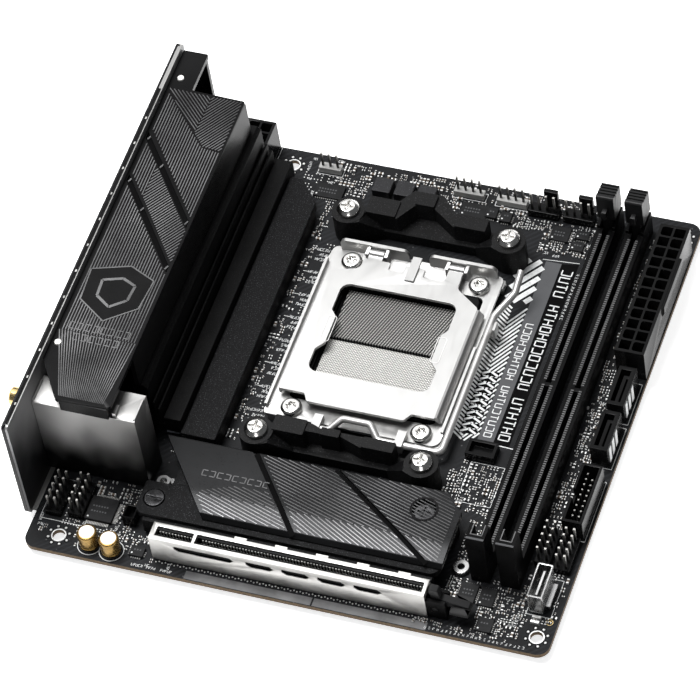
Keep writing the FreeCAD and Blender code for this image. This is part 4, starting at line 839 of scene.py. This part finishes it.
def printed_bands():
    """Grey and black bands, chevrons, broad stripes and rows of plain marks."""
    kit["grey_print"].prism([(125.3, 72.0), (130.5, 72.0), (130.5, 144.5), (125.3, 144.5)], 0, 0.02)
    kit["black_print"].prism([(130.5, 71.8), (135.8, 71.4), (136.0, 145.4), (130.5, 144.5)], 0, 0.025)
    left_half = [(117.0, 72.5), (120.4, 70.4), (120.4, 124.0), (117.0, 126.3)]
    right_half = [(120.5, 70.4), (125.2, 72.6), (125.2, 125.0), (120.5, 118.0)]
    stripes = [(117.2, 126.0), (125.2, 127.2), (125.2, 144.2), (117.4, 143.8)]
    for corners, way, pitch, wide in ((left_half, LEFT_ARM, 1.2, 0.62), (right_half, RIGHT_ARM, 1.2, 0.62),
                                      (stripes, STRIPE_WAY, 2.6, 1.8)):
        hatch(kit["print"], corners, way, pitch, wide, 0, INK)
    for step in range(11):
        y = 74.0 + 2.3 * step
        kit["black_print"].stroke((118.7, y + 0.5), (124.4, y + 0.5), 1.9, INK, 0.04)
        kit["print"].stroke((118.9, y), (121.3, y + 1.3), 0.75, 0.04, 0.06)
        kit["print"].stroke((121.7, y + 1.2), (124.2, y - 0.1), 0.75, 0.04, 0.06)
    for step in range(20):
        if step != 9:
            glyph(step * 3 + step // 4, 126.7, 73.8 + 2.3 * step, 2.4, 1.5, 0.34, 0.02, 0.05)
    for step in range(24):
        if step not in (6, 19):
            glyph(step * 2 + step // 3, 131.6, 73.6 + 2.9 * step, 3.3, 1.9, 0.42, 0.025, 0.055)
    for step in range(15):
        marks(137.2, 123.0 + 1.3 * step, 1, 0.9, upright=True)
    kit["print"].stroke((130.9, 71.4), (137.4, 71.1), 0.35, 0, INK)
    kit["print"].stroke((124.0, 145.0), (136.0, 145.9), 0.2, 0, INK)


# -------- grooved covers
def open_boxes(x, y, count, step, tall, top):
    """Row of plain boxes along the board, each open on alternate sides."""
    for index in range(count):
        left = x + step * index
        right = left + 0.64 * step
        shut = right if index % 2 else left
        bars = (((left, y), (right, y)), ((shut, y), (shut, y + tall)), ((left, y + tall), (right, y + tall)))
        for a, b in bars:
            kit["tooth"].stroke(a, b, 0.3, top, top + 0.13)


def cover_badge(top):
    """Plain six-sided badge with a light rim and a smaller light outline inside it."""
    badge = [(0.5, 79.0), (12.6, 82.8), (21.5, 78.8), (20.5, 67.5), (11.2, 60.4), (1.3, 67.0)]
    kit["plastic"].prism(badge, top, top + 0.16)
    for a, b in zip(badge, badge[1:] + badge[:1]):
        kit["tooth"].stroke(a, b, 0.42, top + 0.1, top + 0.24)
    mid_x, mid_y, share = 11, 72, 0.52
    inner = [(mid_x + (x - mid_x) * share, mid_y + (y - mid_y) * share) for x, y in badge]
    for a, b in zip(inner, inner[1:] + inner[:1]):
        kit["tooth"].stroke(a, b, 0.9, top + 0.14, top + 0.26)


def port_cover_grooves():
    """Fine raised lines, a plain badge, rows of boxes, two slits filled with painted shade and dotted with
    painted glints, and two rivets on the port cover.
    """
    top = span("io_cover")[1][2]
    line_pitch, line_wide, line_rise = 0.95, 0.3, 0.11
    along, right, left = (0, 1), (0.58, 0.82), (0.72, -0.69)
    for corners, way in (
            ([(-0.9, 138.0), (17.6, 113.8), (17.6, 133.3), (-0.9, 153.2)], along),
            ([(17.6, 113.8), (24.2, 105.2), (24.2, 132.4), (17.6, 133.3)], along),
            ([(-0.9, 153.9), (13.2, 138.8), (13.8, 154.2), (-0.9, 154.6)], left),
            ([(13.4, 138.6), (17.9, 133.8), (24.2, 133.2), (24.2, 154.0), (14.0, 154.1)], right),
            ([(-0.9, 132.2), (6.0, 123.4), (6.0, 110.4), (-0.9, 119.2)], along),
            ([(6.2, 123.2), (24.2, 100.2), (24.2, 86.8), (6.2, 110.2)], right),
            ([(-0.9, 114.4), (24.2, 81.8), (24.2, 54.6), (-0.9, 54.6)], along)):
        hatch(kit["ridge"], corners, way, line_pitch, line_wide, top, top + line_rise)
    fan_gaps = 26
    for step in range(fan_gaps + 1):
        share = step / fan_gaps
        far_end, near_end = (-0.9 + 25.1 * share, 54.4), (8.0 + 14.4 * share, 30.2)
        kit["ridge"].stroke(far_end, near_end, line_wide, top, top + line_rise)
    cover_badge(top)
    open_boxes(1.6, 55.6, 8, 2.6, 2.4, top)
    open_boxes(4.4, 51.6, 6, 2.6, 2.4, top)
    for far_y, near_y in ((134.4, 102.6), (116.6, 84.3)):
        a, b = (-0.8, far_y), (23.9, near_y)
        # painted shade: a matte black strip lies in each slit, and short light strokes in it are painted
        # glints
        kit["black_print"].stroke(a, b, 2.3, top - 0.95, top - 0.6)
        for share in (0.02, 0.34, 0.97):
            x, y = a[0] + (b[0] - a[0]) * share, a[1] + (b[1] - a[1]) * share
            kit["tooth"].stroke((x - 0.2, y - 0.9), (x + 0.5, y + 0.6), 0.5, top - 0.6, top - 0.1)
    for x, y in ((1.2, 159.4), (0.4, 49.6)):
        kit["cap_top"].round(x, y, 1.35, top - 1.0, top + 0.15, sides=16, shrink=0.3)


def shield_lip():
    """Black coating on the rear plate's lip, worn bright in small spots, bare at the far end."""
    (x0, y0, _), (_, y1, top) = span("io_shield")
    kit["plastic"].box(x0 + 0.05, y0 + 1.6, top, x0 + 0.95, y1 - 20.0, top + 0.2)
    for step in range(12):
        y = y0 + 9 + 10.6 * step
        kit["lead"].box(x0 + 0.2, y, top + 0.2, x0 + 0.7, y + 0.9, top + 0.25)


def drive_cover_lines():
    """Fine slanted lines, two grooves filled with painted shade, a row of boxes and a screw ring on the drive
    cover.
    """
    top = span("m2_cover")[1][2]
    bend_y, fall = 25.0, 0.132
    line_pitch, line_wide, line_rise = 1.05, 0.26, 0.08

    def level(x, y):
        return -max(0.0, bend_y - y) * fall

    for corners, way in (
            ([(80.4, 25.2), (114.0, 25.2), (89.0, 43.2), (66.0, 43.2)], (0.957, -0.29)),
            ([(85.8, 18.6), (123.8, 18.6), (114.4, 25.0), (80.6, 25.0)], (0.893, -0.45)),
            ([(117.6, 25.2), (130.4, 25.2), (130.4, 38.0), (126.0, 43.2), (92.2, 43.2)], (0.957, -0.29)),
            ([(127.6, 18.6), (130.4, 18.6), (130.4, 25.0), (118.0, 25.0)], (0.893, -0.45)),
            ([(55.2, 18.6), (81.8, 18.6), (76.9, 25.0), (50.3, 25.0)], (0.957, -0.29)),
            ([(50.0, 25.2), (76.6, 25.2), (72.4, 30.0), (62.0, 30.0)], (0.957, -0.29))):
        hatch(kit["ridge"], corners, way, line_pitch, line_wide, top, top + line_rise, level)
    for far_x, near_x, wide in ((63.5, 84.6, 1.7), (89.5, 127.4, 1.55)):
        # painted shade: a matte black strip lies in each groove between the cover's segments
        kit["black_print"].stroke((far_x, 43.7), (near_x, 17.2), wide, top - 1.2, top - 1.1)
    kit["plastic"].ring(121.0, 35.6, 3.75, 4.5, top - 0.2, top + 0.14)
    open_boxes(50.0, 31.4, 9, 2.5, 2.0, top)


# -------- slots and connectors
MEMORY_PITCH = 0.85


def memory_teeth():
    """Contact rows along both walls of each memory slot, light edges and a bar on its near end."""
    for node in ("dimm_slot_1", "dimm_slot_2"):
        (x0, y0, _), (x1, y1, top) = span(node)
        middle, body = (x0 + x1) / 2, top_of(node, x0 + 1.0, 60.0)
        y = y0 + 9.0
        while y < y1 - 11.0:
            if not 70.4 < y - y0 < 72.0:
                kit["tooth"].box(middle - 1.75, y, body - 0.8, middle - 0.83, y + 0.4, body + 0.05)
                kit["tooth"].box(middle + 0.83, y, body - 0.8, middle + 1.75, y + 0.4, body + 0.05)
            y += MEMORY_PITCH
        for x in (middle - 1.78, middle + 1.78):
            kit["tooth"].stroke((x, y0 + 2.0), (x, y0 + 6.0), 0.3, top, top + 0.04)
        kit["tooth"].stroke((middle - 1.93, y0 + 1.95), (middle + 1.93, y0 + 1.95), 0.3, top, top + 0.04)
        kit["grey_print"].box(x0 + 0.2, y0 + 0.1, top, x1 - 0.2, y0 + 0.8, top + 0.04)


def expansion_teeth():
    """Contacts along both walls of the expansion slot, its solder joints and two grey printed bars."""
    (x0, y0, _), (_, _, top) = span("pcie_armour")
    middle = y0 + 3.1
    x = x0 + 2.4
    while x < x0 + 87.0:
        if not 12.6 < x - x0 < 15.4:
            for low_y, high_y in ((middle - 0.95, middle - 0.55), (middle + 0.55, middle + 0.95)):
                kit["lead"].box(x, low_y, 3.0, x + 0.42, high_y, top - 1.1)
        x += 1.0
    for step in range(87):
        kit["solder"].round(43.2 + step, 4.05 + 0.35 * (step % 2), 0.24, 0, 0.1, sides=8)
    for a, b in ((53.5, 94.6), (95.2, 131.6)):
        kit["tooth"].box(a, 0.3, 0, b, 3.2, 0.02)


def connector_trims():
    """Light bars on the drive ports, bright strips of painted reflection on the power socket, lines round
    connectors.
    """
    for node in ("sata_port_1", "sata_port_2"):
        (x0, y0, _), (x1, y1, _) = span(node)
        for step in range(3):
            y = y0 + 1.6 + 3.1 * step
            kit["print"].box(x1, y, 0.8, x1 + 0.08, y + 1.8, 7.5)
        outline(x0 - 0.5, y0 - 0.5, x1 + 0.9, y1 + 0.5)
    (_, y0, _), (x1, y1, top) = span("atx_power_socket")
    # painted reflection: two bright strips on the power socket's right side face
    for low_y, high_y in ((y0 + 0.6, 125.6), (146.4, y1 - 0.6)):
        kit["cap_top"].box(x1 - 1.05, low_y, 0.4, x1 - 0.92, high_y, top - 0.5)
    (x0, y0, _), (x1, y1, _) = span("cpu_power_socket")
    outline(x0 - 0.4, y0 - 0.4, x1 + 0.4, min(y1 + 0.4, BOARD_SIDE - 0.4))


def top_of(node, x, y):
    """Height of a CAD node's top face above the board at a place."""
    mesh = NODES[node].data
    corners = [vertex.co for vertex in mesh.vertices]
    tree = BVHTree.FromPolygons(corners, [face.vertices[:] for face in mesh.polygons])
    hit = tree.ray_cast(ORIGIN + Vector((x, y, 90.0)) * MM, Vector((0, 0, -1)))[0]
    return (hit.z - ORIGIN.z) / MM


def plate_embossing():
    """Raised loops on the load plate's two side tabs."""
    bits = Bits()
    for x, y in ((68.6, 97.2), (105.2, 97.2)):
        height = top_of("load_plate", x, y)
        corners = [(x - 1.0, y - 5.0), (x + 1.0, y - 5.0), (x + 1.4, y - 4.4), (x + 1.4, y + 4.4),
                   (x + 1.0, y + 5.0), (x - 1.0, y + 5.0), (x - 1.4, y + 4.4), (x - 1.4, y - 4.4)]
        for a, b in zip(corners, corners[1:] + corners[:1]):
            bits.stroke(a, b, 0.22, height - 0.02, height + 0.07)
    bits.piece("plate_tab_loops", "wire", SLOT_OF["load_plate"], "load_plate")


BOARD_THICK = 1.6


def joint(bits, x, y, radius, drop, flare):
    """Solder cone that stands down from the board's underside."""
    bits.round(x, y, radius, -BOARD_THICK - drop, -BOARD_THICK, sides=8, shrink=-flare)


def underside_joints():
    """Solder joints of the through-hole connectors on the board's underside."""
    bits = Bits()
    for (x0, y0, _), (x1, y1, _) in islands("power_pins") + islands("header_pins"):
        joint(bits, (x0 + x1) / 2, (y0 + y1) / 2, 0.7, 0.5, 0.3)
    for node in ("dimm_slot_1", "dimm_slot_2"):
        (x0, y0, _), (x1, y1, _) = span(node)
        for step in range(int((y1 - y0 - 12) / MEMORY_PITCH)):
            y = y0 + MEMORY_PITCH * step
            for x in (x0 + 1.4, x1 - 1.4):
                bits.box(x - 0.3, y + 6, -BOARD_THICK - 0.25, x + 0.3, y + 6.4, -BOARD_THICK)
    for step in range(82):
        joint(bits, 45.0 + step, 7.0 + 2.2 * (step % 2), 0.38, 0.35, 0.1)
    for node in ("lan_usb_port", "usb_port_stack", "usb_c_port", "video_ports", "audio_jacks"):
        (_, y0, _), (_, y1, _) = span(node)
        for column in range(3):
            for row in range(int((y1 - y0) / 2.0)):
                joint(bits, 2.5 + 4.2 * column, y0 + 1.2 + 2.0 * row, 0.6, 0.5, 0.2)
    bits.piece("underside_joints", "solder", SLOT_OF["header_pins"])


def underside_capacitors():
    """Small parts inside the backplate's window, turned alternately."""
    parts = Bits()
    for row in range(9):
        for column in range(8):
            x, y = 76.0 + 3.1 * column, 81.0 + 3.9 * row
            wide, deep = ((1.7, 0.9), (0.9, 1.7))[(row + column) % 2]
            parts.box(x, y, -BOARD_THICK - 0.7, x + wide, y + deep, -BOARD_THICK)
    parts.piece("underside_capacitors", "ceramic", SLOT_OF["board_chips"])


case_hole_rings()
printed_bands()
block_out(*PRINTED_BAND)
phase_column()
loose_marks()
chip_leads()
crowded_fields()
capacitor_tops()
port_cover_grooves()
shield_lip()
drive_cover_lines()
memory_teeth()
expansion_teeth()
connector_trims()
plate_embossing()
underside_joints()
underside_capacitors()
for finish_key, (name, node) in PIECE_OF.items():
    kit[finish_key].piece(name, finish_key, SLOT_OF[node])


# -------- camera, floor and light
def area_light(name, place, aim, wide, tall, power):
    """Rectangular light that faces a point."""
    light = bpy.data.lights.new(name, "AREA")
    light.shape = "RECTANGLE"
    light.size, light.size_y = wide, tall
    light.energy = power
    thing = bpy.data.objects.new(name, light)
    thing.location = place
    thing.rotation_euler = (Vector(aim) - Vector(place)).to_track_quat("-Z", "Y").to_euler()
    bpy.context.scene.collection.objects.link(thing)


def photo_camera():
    """Camera that looks down on the near corner, slightly shifted to frame the board."""
    forward = Vector((-0.27755, 0.55208, -0.78624))
    up = Vector((-0.18644, 0.77188, 0.60782))
    place = (0.48375, -0.72777, 1.1714)
    turn = Matrix((forward.cross(up), up, -forward)).transposed()
    camera = bpy.data.cameras.new("camera")
    camera.sensor_width = 36.0
    camera.lens = 242.53
    camera.shift_x = -0.0294
    camera.shift_y = -0.0091
    camera.dof.use_dof = False
    thing = bpy.data.objects.new("camera", camera)
    thing.matrix_world = Matrix.Translation(place) @ turn.to_4x4()
    bpy.context.scene.collection.objects.link(thing)
    bpy.context.scene.camera = thing


def pale_floor(middle, level):
    """Plain near-white floor that glows a little, so that it stays pale under soft light."""
    reach = 3.0
    corners = [(middle.x + sx * reach, middle.y + sy * reach, level)
               for sx, sy in ((-1, -1), (1, -1), (1, 1), (-1, 1))]
    floor = bpy.data.meshes.new("floor")
    floor.from_pydata(corners, [], [[0, 1, 2, 3]])
    floor_object = bpy.data.objects.new("floor", floor)
    bpy.context.scene.collection.objects.link(floor_object)
    floor_object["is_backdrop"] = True
    t = Tree("floor")
    t.put(t.shader.inputs["Base Color"], t.mix(t.noise(400.0), (0.93, 0.93, 0.93), (0.97, 0.97, 0.97)))
    t.shader.inputs["Roughness"].default_value = 0.9
    t.shader.inputs["Emission Color"].default_value = (1.0, 1.0, 1.0, 1.0)
    t.shader.inputs["Emission Strength"].default_value = 0.75
    floor.materials.append(t.material)


def soft_lights(middle):
    """Large softbox behind the board, one light overhead, one in front and a dim surround."""
    behind = middle + Vector((-0.278, 0.552, 0.786)) * 1.2
    area_light("softbox", behind, middle, wide=1.5, tall=1.2, power=6.2)
    area_light("overhead", (-0.3, 0.2, 1.3), middle, wide=0.6, tall=0.6, power=18)
    area_light("front", (0.5, -1.1, 0.9), middle, wide=0.5, tall=0.4, power=2.0)
    world = bpy.data.worlds.new("studio")
    bpy.context.scene.world = world
    world.use_nodes = True
    background = world.node_tree.nodes["Background"]
    background.inputs["Color"].default_value = (0.95, 0.97, 1.0, 1.0)
    background.inputs["Strength"].default_value = 0.1


def studio():
    """Camera, a floor just below the board and soft lights."""
    floor_gap = 0.0005
    photo_camera()
    low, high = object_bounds()
    middle = (Vector(low) + Vector(high)) / 2
    pale_floor(middle, low[2] - floor_gap)
    soft_lights(middle)
    bpy.context.scene.view_settings.view_transform = "Standard"


studio()
